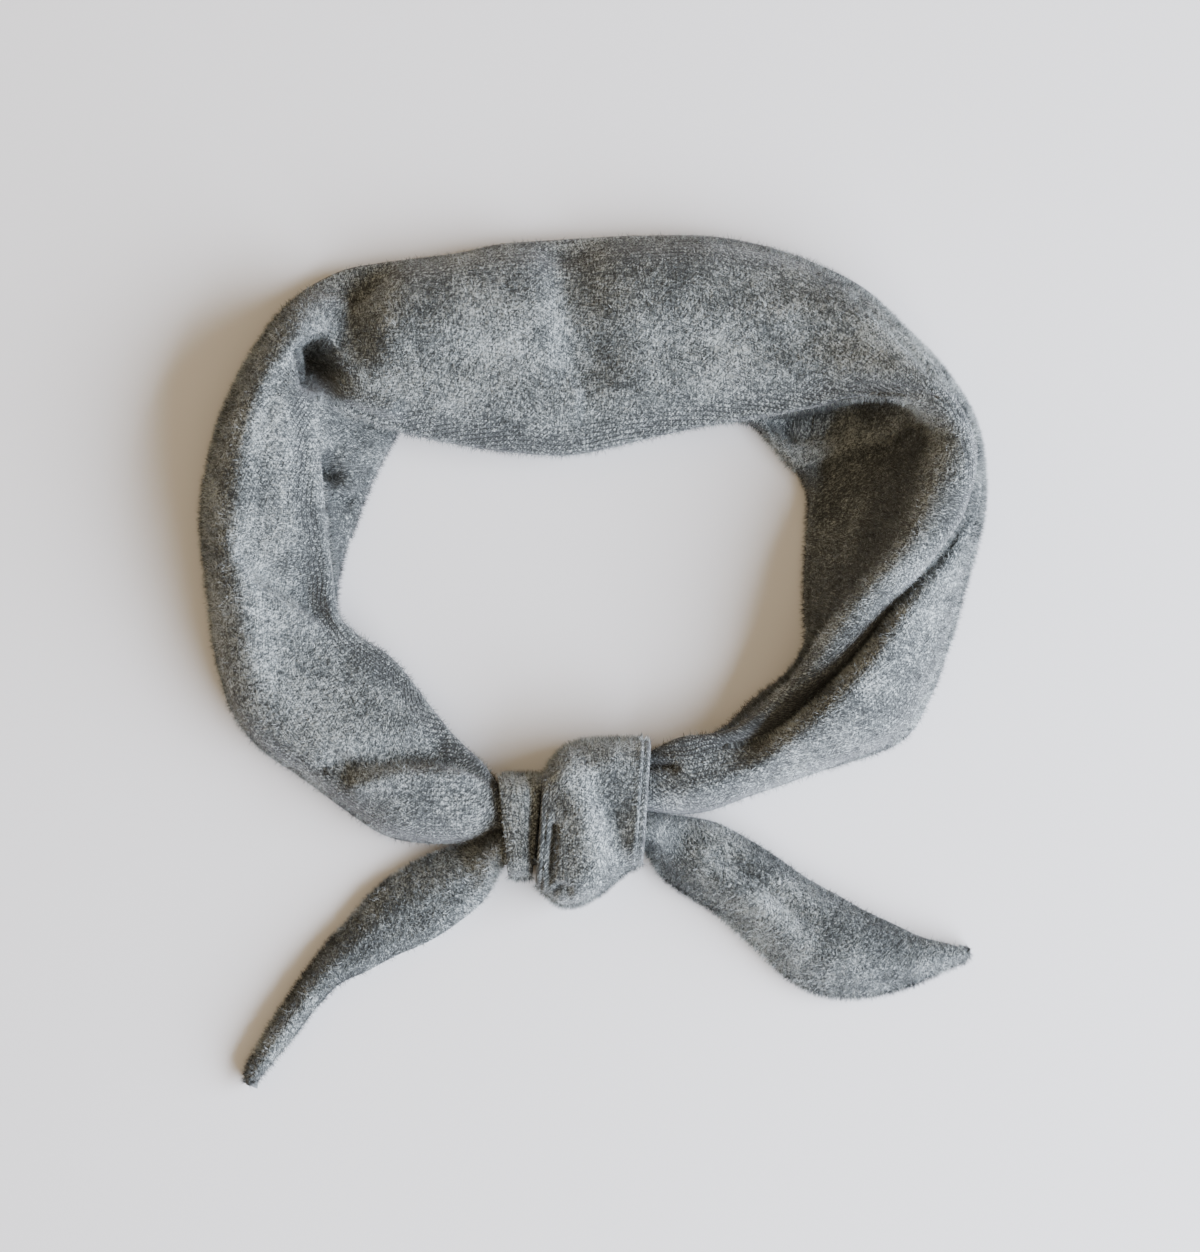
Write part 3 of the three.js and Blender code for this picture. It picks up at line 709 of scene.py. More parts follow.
def small_rod(segments: int, tip: float, lift: float) -> tuple[Array, Array]:
    """A rod or cone of length and radius one, which is then set in many places.

    Args:
        segments: how many sides it has.
        tip: the radius of its upper end.
        lift: how far it is moved up.

    Returns:
        Its vertices and its triangles.
    """
    shape = bmesh.new()
    bmesh.ops.create_cone(shape, cap_ends=True, segments=segments, radius1=1.0, radius2=tip, depth=1.0)
    bmesh.ops.translate(shape, verts=shape.verts[:], vec=(0, 0, lift))
    bmesh.ops.triangulate(shape, faces=shape.faces[:])
    shape.verts.index_update()
    points = np.array([v.co[:] for v in shape.verts])
    faces = np.array([[v.index for v in face.verts] for face in shape.faces])
    shape.free()
    return points, faces


def joined(
    name: str, placed: Array, faces: Array, finishes: Sequence[bpy.types.Material],
) -> bpy.types.Object:
    """Joins many copies of a small shape to one piece.

    Args:
        name: the piece's name.
        placed: the vertices of each copy, copies first.
        faces: the triangles of one copy.
        finishes: the piece's materials.

    Returns:
        The piece, in the scene.
    """
    mesh = bpy.data.meshes.new(name)
    steps = np.arange(len(placed))[:, None, None] * placed.shape[1]
    mesh.from_pydata(placed.reshape(-1, 3), [], (faces[None] + steps).reshape(-1, 3))
    for finish in finishes:
        mesh.materials.append(finish)
    return put_in_scene(mesh.name, mesh)


@dataclass(frozen=True)
class MelangeKnit:
    """Felted melange wool knit: dark, grey and white fibres spun together, fulled and brushed.

    The eye gets a matt, cloudy grey with a fine grain of single fibres, and knit ribs only where
    the nap is worn or stretched, at hems and folds.
    """

    name: str
    dark: str = "#292C2B"
    middle: str = "#5A5F5D"
    light: str = "#A7ADA9"
    roughness: float = 0.95
    fleck: float = 0.45 * MM
    streak_long: float = 2.4 * MM
    streak_wide: float = 0.5 * MM
    lays: tuple[float, ...] = (20.0, -52.0, 81.0)

    def material(self) -> bpy.types.Material:
        """Builds the shader.

        Returns:
            The material.
        """
        material, tree, output = new_material(self.name)
        place = add_node(tree, "ShaderNodeTexCoord", {}).outputs["Object"]
        # the tone attribute: the yarn's clouds, with painted shade and painted highlight added in places
        tone_and_light = add_node(tree, "ShaderNodeAttribute", {}, attribute_name="tone_and_light").outputs["Fac"]
        bare = add_node(tree, "ShaderNodeAttribute", {}, attribute_name="bare").outputs["Fac"]
        grain = self.grain(tree, place)
        rib = self.rib(tree)
        tone = self.blend(tree, [(grain, 0.86), (tone_and_light, 0.3)], -0.08)
        shaded = add_node(tree, "ShaderNodeMath", {0: rib, 1: bare}, operation="MULTIPLY").outputs[0]
        tone = self.blend(tree, [(tone, 1.0), (shaded, -0.6)], 0.0)
        ramp = add_node(tree, "ShaderNodeValToRGB", {"Fac": tone})
        stops = ramp.color_ramp.elements
        stops[0].position, stops[0].color = 0.16, linear(self.dark)
        stops[1].position, stops[1].color = 0.86, linear(self.light)
        middle = stops.new(0.5)
        middle.color = linear(self.middle)
        height = self.blend(tree, [(grain, 0.5), (shaded, -0.9)], 0.0)
        bump = add_node(tree, "ShaderNodeBump", {"Height": height, "Distance": 0.5 * MM, "Strength": 0.8})
        shader = add_node(tree, "ShaderNodeBsdfPrincipled", {
            "Base Color": ramp.outputs["Color"],
            "Roughness": self.roughness,
            "IOR": 1.54,
            "Specular IOR Level": 0.15,
            "Sheen Weight": 0.25,
            "Sheen Roughness": 0.6,
            "Normal": bump.outputs["Normal"],
        })
        tree.links.new(shader.outputs["BSDF"], output.inputs["Surface"])
        return material

    def grain(self, tree: bpy.types.NodeTree, place: bpy.types.NodeSocket) -> bpy.types.NodeSocket:
        """The grain of single fibres: flecks, and streaks that cross each other.

        Args:
            tree: the material's tree.
            place: the point that is shaded.

        Returns:
            The grain, about 0.5 on average.
        """
        cloth = add_node(tree, "ShaderNodeUVMap", {}, uv_map="cloth").outputs["UV"]
        fleck = add_node(tree, "ShaderNodeTexNoise", {
            "Vector": place, "Scale": 1 / self.fleck, "Detail": 1.5, "Roughness": 0.6,
        })
        parts = [(fleck.outputs["Fac"], 1.1)]
        for degrees in self.lays:
            turned = add_node(tree, "ShaderNodeMapping", {
                "Vector": cloth,
                "Rotation": (0.0, 0.0, math.radians(degrees)),
                "Scale": (self.streak_long, self.streak_wide, 1.0),
            }, vector_type="TEXTURE")
            streak = add_node(tree, "ShaderNodeTexNoise", {
                "Vector": turned.outputs["Vector"], "Scale": 1.0, "Detail": 1.0, "Roughness": 0.5,
            }, noise_dimensions="2D")
            parts.append((streak.outputs["Fac"], 0.9))
        return self.blend(tree, parts, 0.5 - 0.5 * sum(weight for _, weight in parts))

    def rib(self, tree: bpy.types.NodeTree) -> bpy.types.NodeSocket:
        """The knit itself: dark gaps between wales, crossed by the slant legs of its stitches.

        Args:
            tree: the material's tree.

        Returns:
            1 in the gaps and 0 on the stitches.
        """
        cloth = add_node(tree, "ShaderNodeUVMap", {}, uv_map="cloth").outputs["UV"]
        parts = add_node(tree, "ShaderNodeSeparateXYZ", {"Vector": cloth})
        wale = add_node(tree, "ShaderNodeMath", {0: parts.outputs["Y"], 1: WALE / 2}, operation="PINGPONG")
        lean = add_node(tree, "ShaderNodeMath", {0: wale.outputs[0], 1: 1.3, 2: parts.outputs["X"]},
                        operation="MULTIPLY_ADD")
        leg = add_node(tree, "ShaderNodeMath", {0: lean.outputs[0], 1: COURSE / 2}, operation="PINGPONG")
        legs = add_node(tree, "ShaderNodeMapRange", {
            "Value": leg.outputs[0], "From Min": 0.0, "From Max": COURSE / 2,
        })
        gaps = add_node(tree, "ShaderNodeMapRange", {
            "Value": wale.outputs[0], "From Min": 0.0, "From Max": WALE / 4, "To Min": 1.0, "To Max": 0.0,
        })
        return self.blend(tree, [(legs.outputs["Result"], 0.5), (gaps.outputs["Result"], 0.6)], 0.0)

    def blend(self, tree: bpy.types.NodeTree, parts: list[tuple], base: float) -> bpy.types.NodeSocket:
        """Adds values up, each by its own weight.

        Args:
            tree: the material's tree.
            parts: the values and their weights.
            base: what the sum starts from.

        Returns:
            The sum.
        """
        total = base
        for value, weight in parts:
            terms = {0: value, 1: weight, 2: total}
            total = add_node(tree, "ShaderNodeMath", terms, operation="MULTIPLY_ADD").outputs[0]
        return total


@dataclass(frozen=True)
class PalePaint:
    """Matt emulsion on a smooth board. The eye gets a plain pale field that takes soft shadows."""

    name: str = "pale_emulsion"
    colour: str = "#E9E7E3"

    def material(self) -> bpy.types.Material:
        """Builds the shader.

        Returns:
            The material.
        """
        material, tree, output = new_material(self.name)
        place = add_node(tree, "ShaderNodeTexCoord", {}).outputs["Object"]
        stipple = add_node(tree, "ShaderNodeTexNoise", {"Vector": place, "Scale": 1 / (1.5 * MM)})
        bump = add_node(tree, "ShaderNodeBump", {
            "Height": stipple.outputs["Fac"], "Distance": 0.05 * MM, "Strength": 0.3,
        })
        shader = add_node(tree, "ShaderNodeBsdfPrincipled", {
            "Base Color": linear(self.colour), "Roughness": 0.9, "Normal": bump.outputs["Normal"],
        })
        tree.links.new(shader.outputs["BSDF"], output.inputs["Surface"])
        return material


@dataclass
class Cloth:
    """A stretch of the kerchief as a lofted sheet."""

    name: str
    slot: str
    flat: tuple[float, float]
    seed: float
    finish: MelangeKnit
    grid: Array | None = None
    tone_and_light: Array | None = None
    bare: Array | None = None

    def surface(self) -> Array:
        """The grid of points on the cloth's outside."""
        raise NotImplementedError

    def bareness(self, grid: Array) -> Array:
        """How far the knit shows through the nap at each point, from 0 to 1."""
        return np.full(grid.shape[:2], 0.15)

    def tone_and_painted_light(self, grid: Array) -> Array:
        """The light and dark clouds of the yarn, 3 to 17 mm across, with the listed patches of painted
        shade and highlight, at each point.

        Args:
            grid: the cloth's outside.

        Returns:
            A tone from 0 to 1 for each point.
        """
        tone_sum = mottled(grid, 0.5, CLOUDS, self.seed)
        # add the listed patches: most are painted shade in hollows and grooves and painted highlight on
        # crests, a few the yarn's own tone
        for tone_and_light in LIGHT_AND_YARN_PATCHES:
            off = (grid[..., :2] / MM - (tone_and_light.x, tone_and_light.y)) / (tone_and_light.wide, tone_and_light.deep)
            tone_sum += tone_and_light.tone * np.exp(-(off ** 2).sum(axis=-1))
        return np.clip(tone_sum, 0, 1)

    def build(self) -> bpy.types.Object:
        """Makes the sheet: a flat grid laid over the loft, closed where its edges meet, and walled.

        Returns:
            The finished piece.
        """
        self.grid = grid = self.surface()
        rows, columns = grid.shape[:2]
        sheet = bmesh.new()
        bmesh.ops.create_grid(sheet, x_segments=rows - 1, y_segments=columns - 1, size=1.0)
        row = [round((v.co.x + 1) / 2 * (rows - 1)) for v in sheet.verts]
        place = [round((v.co.y + 1) / 2 * (columns - 1)) for v in sheet.verts]
        strides = np.linalg.norm(np.diff(grid[:, columns // 3], axis=0), axis=1)
        along = np.concatenate([[0], np.cumsum(strides)])
        steps = np.linalg.norm(np.diff(grid, axis=1), axis=2)
        across = np.concatenate([np.zeros((rows, 1)), np.cumsum(steps, axis=1)], axis=1)
        # the tone holds the yarn's clouds and the painted shade and highlight
        self.tone_and_light, self.bare = self.tone_and_painted_light(grid), self.bareness(grid)
        cloth_map = sheet.loops.layers.uv.new("cloth")
        cloud_layer = sheet.verts.layers.float.new("tone_and_light")
        bare_layer = sheet.verts.layers.float.new("bare")
        for vert, i, j in zip(sheet.verts, row, place):
            vert.co = grid[i, j]
            vert[cloud_layer] = self.tone_and_light[i, j]
            vert[bare_layer] = self.bare[i, j]
        for face in sheet.faces:
            face.smooth = True
            for loop in face.loops:
                i, j = row[loop.vert.index], place[loop.vert.index]
                loop[cloth_map].uv = (along[i], across[i, j])
        self.close(sheet)
        if self.faces_in(sheet, grid):
            bmesh.ops.reverse_faces(sheet, faces=sheet.faces[:])
        mesh = bpy.data.meshes.new(self.name)
        sheet.to_mesh(mesh)
        sheet.free()
        piece = put_in_scene(f"{self.name}_cloth", mesh)
        self.thicken(piece)
        return piece

    def thicken(self, piece: bpy.types.Object) -> None:
        """Gives the sheet its wall, which stays above the surface that it lies on.

        Args:
            piece: the sheet, as its outside alone.
        """
        wall = piece.modifiers.new("wall", "SOLIDIFY")
        wall.thickness = WALL * WALL_ADDED
        wall.offset = -1.0
        done = piece.evaluated_get(bpy.context.evaluated_depsgraph_get())
        walled = bpy.data.meshes.new_from_object(done)
        walled.name = piece.data.name
        places = np.empty(len(walled.vertices) * 3, np.float32)
        walled.vertices.foreach_get("co", places)
        places = self.tucked_in(piece.data, places.reshape(-1, 3)).ravel()
        places[2::3] = np.maximum(places[2::3], 0.0)
        walled.vertices.foreach_set("co", places)
        piece.modifiers.clear()
        piece.data = walled

    def tucked_in(self, outside: bpy.types.Mesh, places: Array) -> Array:
        """Puts back the spots of the wall's inside that a tight fold pushes out through its outside.

        Args:
            outside: the sheet before it had a wall.
            places: the walled sheet's points, first those of its outside and then those of its inside.

        Returns:
            The points, with none of the inside in front of the outside beside it.
        """
        sheet = bmesh.new()
        sheet.from_mesh(outside)
        tree = BVHTree.FromBMesh(sheet)
        sheet.free()
        count = len(outside.vertices)
        for number in range(count, len(places)):
            point = Vector(places[number])
            nearest, normal, _, _ = tree.find_nearest(point)
            if (point - nearest).dot(normal) > -WALL_LEAST and (point - nearest).length < WALL:
                places[number] = nearest - normal * WALL_LEAST
        return places

    def close(self, sheet: bmesh.types.BMesh) -> None:
        """Joins edges that meet. A plain sheet has none."""

    def faces_in(self, sheet: bmesh.types.BMesh, grid: Array) -> bool:
        """Whether the faces point into the cloth.

        Args:
            sheet: the sheet, in place.
            grid: its outside.

        Returns:
            True if the face nearest the highest point looks down.
        """
        sheet.normal_update()
        top = Vector(grid.reshape(-1, 3)[grid[..., 2].argmax()])
        nearest = min(sheet.faces, key=lambda face: (face.calc_center_median() - top).length)
        return nearest.normal.z < 0

    def dress(self, piece: bpy.types.Object, nap: list[bpy.types.Object]) -> None:
        """Gives the piece its finish and ties it to the frame.

        Args:
            piece: the sheet.
            nap: the fibres on it; not used.
        """
        piece.data.materials.append(self.finish.material())
        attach(piece, "root")
        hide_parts(self.name)
        log.info("%s: %d faces", piece.name, len(piece.data.polygons))


def knot_rooms() -> dict[str, tuple[float, float]]:
    """The room across the knot's ends.

    Returns:
        Its low and its high side, for the band and the tail on each side of the knot.
    """
    rooms = {}
    for side, row, depth, share in (
        ("left", SMALL_SECTIONS[0], SMALL_DEPTH, LEFT_BAND_SHARE),
        ("right", LARGE_SECTIONS[-1], LARGE_DEPTH, RIGHT_BAND_SHARE),
    ):
        low = KNOT_MIDDLE.y + row.low * depth + KNOT_FLOOR
        high = KNOT_MIDDLE.y + row.high * depth - KNOT_FLOOR
        free = high - low - CLEARANCE
        rooms[f"{side} band"] = (high - free * share, high)
        rooms[f"{side} tail"] = (low, low + free * (1 - share))
    return rooms


def strand_places(side: int) -> Array:
    """Where a strand's sections stand in the knot: inside it, at its end and just past it."""
    edge = KNOT_MIDDLE.x + side * KNOT_HALF
    return np.array([edge - side * (KNOT_HALF - CLEARANCE / 2), edge, edge + side * STRAND_LEAD])


@dataclass
class NeckBand(Cloth):
    """The doubled band round the neck opening, from inside the knot round to inside it again."""

    stations: int = 400
    face_steps: int = 60
    ridge_steps: int = 8
    inner_steps: int = 18
    foot_steps: int = 6
    under_steps: int = 12

    def loop_keys(self) -> Array:
        """The keys of the free sections.

        Returns:
            The keys, from the hem over the ridge and back under to the hem, sections first.
        """
        rows = BAND_SECTIONS
        get = {f.name: column(rows, f.name) for f in fields(BandSection)}

        def place(x: Array, y: Array) -> Array:
            """The place in the loop at shares of its width and its depth."""
            return plan(LOOP_MIDDLE + x * LOOP_WIDTH / 2, LOOP_FRONT + y * LOOP_DEPTH)

        hem = place(get["hem_x"], get["hem_y"])
        ridge = at_height(place(get["ridge_x"], get["ridge_y"]), get["ridge_z"] * BAND_HEIGHT)
        foot = place(get["foot_x"], get["foot_y"])

        def on_face(at: Array, height: Array) -> Array:
            """The place on the outer face at a share of the way from the hem to the ridge."""
            return at_height(hem + at[:, None] * (ridge - hem), height * BAND_HEIGHT)

        crest = on_face(get["crest_at"], get["crest_z"])
        valley = on_face(get["valley_at"], get["valley_z"])
        lift = np.zeros(len(rows))
        sections = np.arange(len(rows))
        at = column(INNER_FACES, "section")
        broad = np.interp(sections, at, column(INNER_FACES, "broad")) * INNER_ROLL
        sink = np.interp(sections, at, column(INNER_FACES, "sink"))
        slope = np.interp(sections, at, column(INNER_FACES, "slope")) * MM
        lip = np.interp(sections, at, column(INNER_FACES, "lip")) * MM
        bow, tuck = get["bow"] * WALL, get["tuck"] * WALL
        return self.keys(hem, crest, valley, ridge, foot, lift, bow, tuck, broad, sink, slope, lip)

    def strand_keys(self, side: int, room: tuple[float, float]) -> Array:
        """The keys of the sections gathered in the knot.

        Args:
            side: -1 at the knot's left end and 1 at its right.
            room: the low and the high side of the band's room there.

        Returns:
            The keys, from inside the knot outwards.
        """
        x = strand_places(side)
        low, high = room
        top = KNOT_FLOOR + STRAND_HEIGHT - WALL / 2 - LAYER_GAP
        return self.keys(
            plan(x, low),
            plan(x, low + (high - low) * STRAND_CREST_AT, top),
            plan(x, low + (high - low) * STRAND_VALLEY_AT, top),
            plan(x, high, KNOT_FLOOR + STRAND_HEIGHT * STRAND_RIDGE_RISE),
            plan(x, high),
            np.full(len(x), KNOT_FLOOR),
            np.zeros(len(x)),
            np.full(len(x), WALL * STRAND_TUCK),
            *np.zeros((4, len(x))),
        )

    def keys(
        self, hem: Array, crest: Array, valley: Array, ridge: Array, foot: Array,
        lift: Array, bow: Array, tuck: Array, broad: Array, sink: Array, slope: Array, lip: Array,
    ) -> Array:
        """The places that the middle of the cloth passes through in each section.

        Args:
            hem: the outer border.
            crest: the top of the roll beside it.
            valley: the low line between the roll and the ridge.
            ridge: the fold at the neck opening's edge.
            foot: the inner border on the table.
            lift: how high the under layer lies.
            bow: how far the inner face swells.
            tuck: how far the under layer ends inside the hem.
            broad: how far the inner face rolls over from the ridge.
            sink: how far it hangs in, as a share of its height.
            slope: how far the ridge's near side slopes down.
            lip: how far the roll beside the valley overhangs it.

        Returns:
            Fourteen keys for each section, sections first.
        """
        under = lift + WALL / 2
        over = under + 2 * FOLD_RADIUS
        inward = unit(at_height(foot - hem, 0.0))
        hem_top = at_height(hem + inward * WALL / 2, over)
        shoulder = at_height(
            hem_top + SHOULDER_AT * (crest - hem_top), over + SHOULDER_RISE * (crest[:, 2] - over),
        )
        foot_tip = at_height(foot - inward * WALL / 2, under + FOLD_RADIUS)
        back = foot_tip - inward * FOLD_RADIUS
        above, below = at_height(back, over), at_height(back, under)
        brink = (crest + valley) / 2
        overhang = valley + BRINK_RISE * at_height(np.zeros_like(valley), crest[:, 2] - valley[:, 2])
        overhang = overhang + unit(at_height(valley - crest, 0.0)) * lip[:, None]
        brink = brink + np.clip(lip[:, None] / LIP_FULL, 0, 1) * (overhang - brink)
        fold = self.fold(ridge, valley, back, broad[:, None], sink[:, None], slope[:, None])
        inner = (fold[2] + above) / 2 + inward * bow[:, None]
        inner[:, 2] *= 1 - sink
        end = at_height(hem + inward * (WALL / 2 + tuck)[:, None], under)
        outer_face = [hem_top, shoulder, crest, brink, valley]
        under_layer = [inner, above, foot_tip, below, (below + end) / 2, end]
        return np.stack([*outer_face, *fold, *under_layer], axis=1)

    def fold(
        self, tip: Array, before: Array, after: Array, broad: Array, sink: Array, slope: Array,
    ) -> list[Array]:
        """The three keys of a fold whose outside reaches a tip.

        Args:
            tip: the outside of the fold.
            before: where the cloth comes from.
            after: where it goes to.
            broad: how far its far side rolls over.
            sink: how far its far side hangs in, as a share.
            slope: how far its near side slopes down.

        Returns:
            The near side, the end and the far side.
        """
        back, ahead = unit(before - tip), unit(after - tip)
        point = -unit(back + ahead)
        aside = unit(back - (back * point).sum(axis=1, keepdims=True) * point)
        end = tip - point * WALL / 2
        middle = end - point * FOLD_RADIUS
        across = FOLD_RADIUS + ROLL_ACROSS * broad + SINK_ACROSS * sink
        far = middle - aside * across - point * (ROLL_DOWN * broad + SINK_DOWN * sink)
        between = (back * ahead).sum(axis=1, keepdims=True)
        open_fold = np.clip((OPENS_UNDER - between) / OPENS_OVER, 0, 1) * (1 - sink)
        near = middle + aside * (FOLD_RADIUS + slope) - point * slope
        near = near + open_fold * (end + back * EDGE_RADIUS - near)
        far = far + open_fold * (end + ahead * EDGE_RADIUS - far)
        return [near, end, far]

    def surface(self) -> Array:
        """Lofts the band, and creases and rumples it.

        Returns:
            The grid of points on its outside.
        """
        rooms = knot_rooms()
        rows = np.concatenate([
            self.strand_keys(-1, rooms["left band"]),
            self.loop_keys(),
            self.strand_keys(1, rooms["right band"])[::-1],
        ])
        zones = (
            (0, 5, self.face_steps), (5, 7, self.ridge_steps), (7, 9, self.inner_steps),
            (9, 11, self.foot_steps), (11, 13, self.under_steps),
        )
        middle = loft(rows, self.stations, zones)
        away = outward(middle)
        outside = middle + away * WALL / 2
        outside = pressed(outside, BAND_CREASES, slice(0, self.face_steps + 2), away)
        shown = self.face_steps + self.ridge_steps + self.inner_steps
        outside = pressed(outside, INNER_CREASES, slice(shown - self.inner_steps, shown + 1), away)
        outside[:, :shown] = rumpled(outside[:, :shown], away[:, :shown], self.seed)
        return on_the_table(outside)

    def bareness(self, grid: Array) -> Array:
        """The knit shows along the hem and the ridge, and where the band is drawn into the knot.

        Args:
            grid: the cloth's outside.

        Returns:
            A share from 0 to 1 for each point.
        """
        columns = np.arange(grid.shape[1], dtype=float)[None, :]
        run = np.linspace(0, 1, grid.shape[0])[:, None]
        hem = np.exp(-((columns - 8) / 6) ** 2)
        ridge = np.exp(-((columns - self.face_steps + 1) / 5) ** 2)
        drawn = np.exp(-((run / 0.09) ** 2)) + np.exp(-(((1 - run) / 0.13) ** 2))
        return np.clip(0.1 + 0.55 * hem + 0.75 * ridge + 0.6 * drawn, 0, 1)

    def tone_and_painted_light(self, grid: Array) -> Array:
        """The band's tone, with painted shade on the inner face and painted light on its strip.

        Args:
            grid: the cloth's outside.

        Returns:
            A tone from 0 to 1 for each point.
        """
        x, y = grid[..., 0], grid[..., 1]
        columns = np.arange(grid.shape[1]) - self.face_steps - self.ridge_steps
        turned = np.clip(columns / TURNED_OVER, 0, 1)
        edge = np.interp(x / MM, *STRIP_EDGE) * MM
        strip = np.clip((y - edge) / STRIP_SOFT, 0, 1) * (x > STRIP_FROM)
        strip *= np.clip((STRIP_TO - x) / STRIP_FADE, 0, 1)
        strip *= np.exp(-(np.clip(y - edge - STRIP_STAYS, 0, None) / STRIP_TAPER) ** 2)
        pocket = np.exp(-((columns - POCKET_AT) / POCKET_WIDE) ** 2) * (x > STRIP_FROM)
        # painted shade over the inner face, deeper left of the middle and in the pocket under the ridge,
        # and painted light on the strip
        tone = STRIP_PAINTED_LIGHT * strip + INNER_PAINTED_SHADE + LEFT_PAINTED_SHADE * (x < 0) + POCKET_PAINTED_SHADE * pocket
        return np.clip(super().tone_and_painted_light(grid) + tone * turned, 0, 1)


@dataclass
class KnotTurn(Cloth):
    """A closed turn of cloth round the knot, from its left edge to its right one."""

    rows: Sequence[TurnSection] = ()
    left: float = 0.0
    width: float = 0.0
    depth: float = 0.0
    lean_left: float = 0.0
    lean_right: float = 0.0
    bead_left: float = 0.0
    bead_right: float = 0.0
    creases: Sequence[Crease] = ()
    stations: int = 60
    corner_steps: int = 16
    top_steps: int = 30
    bead_at: float = 1.9 * MM
    bead_wide: float = 1.6 * MM
    seam_at: float = 1.8 * MM
    seam_wide: float = 0.5 * MM
    seam_deep: float = 0.9
    front_from: float = 2 * MM
    front_over: float = 8 * MM

    def ring(self, x: float, low: float, high: float, top: float) -> Array:
        """One ring of the turn: a rounded box that stands on the table.

        Args:
            x: where it stands.
            low: its front.
            high: its back.
            top: its height.

        Returns:
            Points evenly round it, from under its back, the last on the first.
        """
        foot = WALL + FOLD_RADIUS + WALL / 2
        shoulder = foot + (top - KNOT_HEIGHT * TURN_SWELLS_FROM) * TURN_SOFTNESS
        points = []
        for y, z, radius, turn in (
            (high - foot, foot, foot, -0.25), (high - shoulder, top - shoulder, shoulder, 0.0),
            (low + shoulder, top - shoulder, shoulder, 0.25), (low + foot, foot, foot, 0.5),
        ):
            angle = 2 * math.pi * (turn + 0.25 * np.linspace(0, 1, self.corner_steps + 1))
            points.append(plan(x, y + radius * np.cos(angle), z + radius * np.sin(angle)))
        line = np.concatenate([*points, points[0][:1]])
        return evenly(line, 4 * self.corner_steps + 2 * self.top_steps)

    def surface(self) -> Array:
        """Lofts the turn, with beaded hems and its own creases.

        Returns:
            The grid of points on its outside.
        """
        keys = np.stack([
            column(self.rows, "low") * self.depth,
            column(self.rows, "high") * self.depth,
            KNOT_HEIGHT + column(self.rows, "tall") * LARGE_RISE,
        ], axis=1)
        at = plan(column(self.rows, "at") * self.width, 0.0)
        fine = np.linspace(0, len(keys) - 1, 400)
        sizes, run = smooth(keys, fine), smooth(at, fine)[:, 0]
        wanted = np.linspace(0, self.width, self.stations + 1)
        rings = []
        for x in wanted:
            low, high, top = (np.interp(x, run, sizes[:, k]) for k in range(3))
            rings.append(self.ring(self.left + x, KNOT_MIDDLE.y + low, KNOT_MIDDLE.y + high, top))
        grid = np.stack(rings)
        away = outward(grid)
        if away[grid.shape[0] // 2, grid.shape[1] // 2, 2] < 0:
            away = -away
        grid = grid + self.relief(grid, wanted)[..., None] * away
        lean = np.interp(wanted, [0, self.width], [self.lean_left, self.lean_right])[:, None]
        share = (grid[..., 1] - KNOT_MIDDLE.y) / self.depth
        grid[..., 0] += lean * share
        upper = away.copy()
        upper[away[..., 2] < 0.1] = 0.0
        grid = pressed(grid, self.creases, slice(0, grid.shape[1]), upper, fading=False)
        return on_the_table(rumpled(grid, away * np.array([0.3, 0.7, 0.7]), self.seed))

    def relief(self, grid: Array, wanted: Array) -> Array:
        """How far a rolled bead and its seam make each point stand out of the plain turn.

        Args:
            grid: the plain turn.
            wanted: how far each ring is from the left hem.

        Returns:
            The height at each point. The left hem has its bead at the front alone.
        """
        height = np.zeros(grid.shape[:2])
        front = np.clip((KNOT_MIDDLE.y + self.front_from - grid[..., 1]) / self.front_over, 0, 1)
        whole = np.ones_like(front)
        for bead, edge, where in (
            (self.bead_left, wanted, front), (self.bead_right, self.width - wanted, whole),
        ):
            swell = np.exp(-((edge - self.bead_at) / self.bead_wide) ** 2)
            seam = np.exp(-((edge - self.seam_at) / self.seam_wide) ** 2)
            height += bead * where * (swell - self.seam_deep * seam)[:, None]
        return height

    def close(self, sheet: bmesh.types.BMesh) -> None:
        """Welds the first and the last line of the ring, under the knot."""
        bmesh.ops.remove_doubles(sheet, verts=sheet.verts[:], dist=0.02 * MM)

    def bareness(self, grid: Array) -> Array:
        """The knit shows at both hems."""
        share = np.abs(np.linspace(-1, 1, grid.shape[0]))[:, None]
        return np.broadcast_to(np.clip(0.15 + 0.7 * share ** 6, 0, 1), grid.shape[:2])


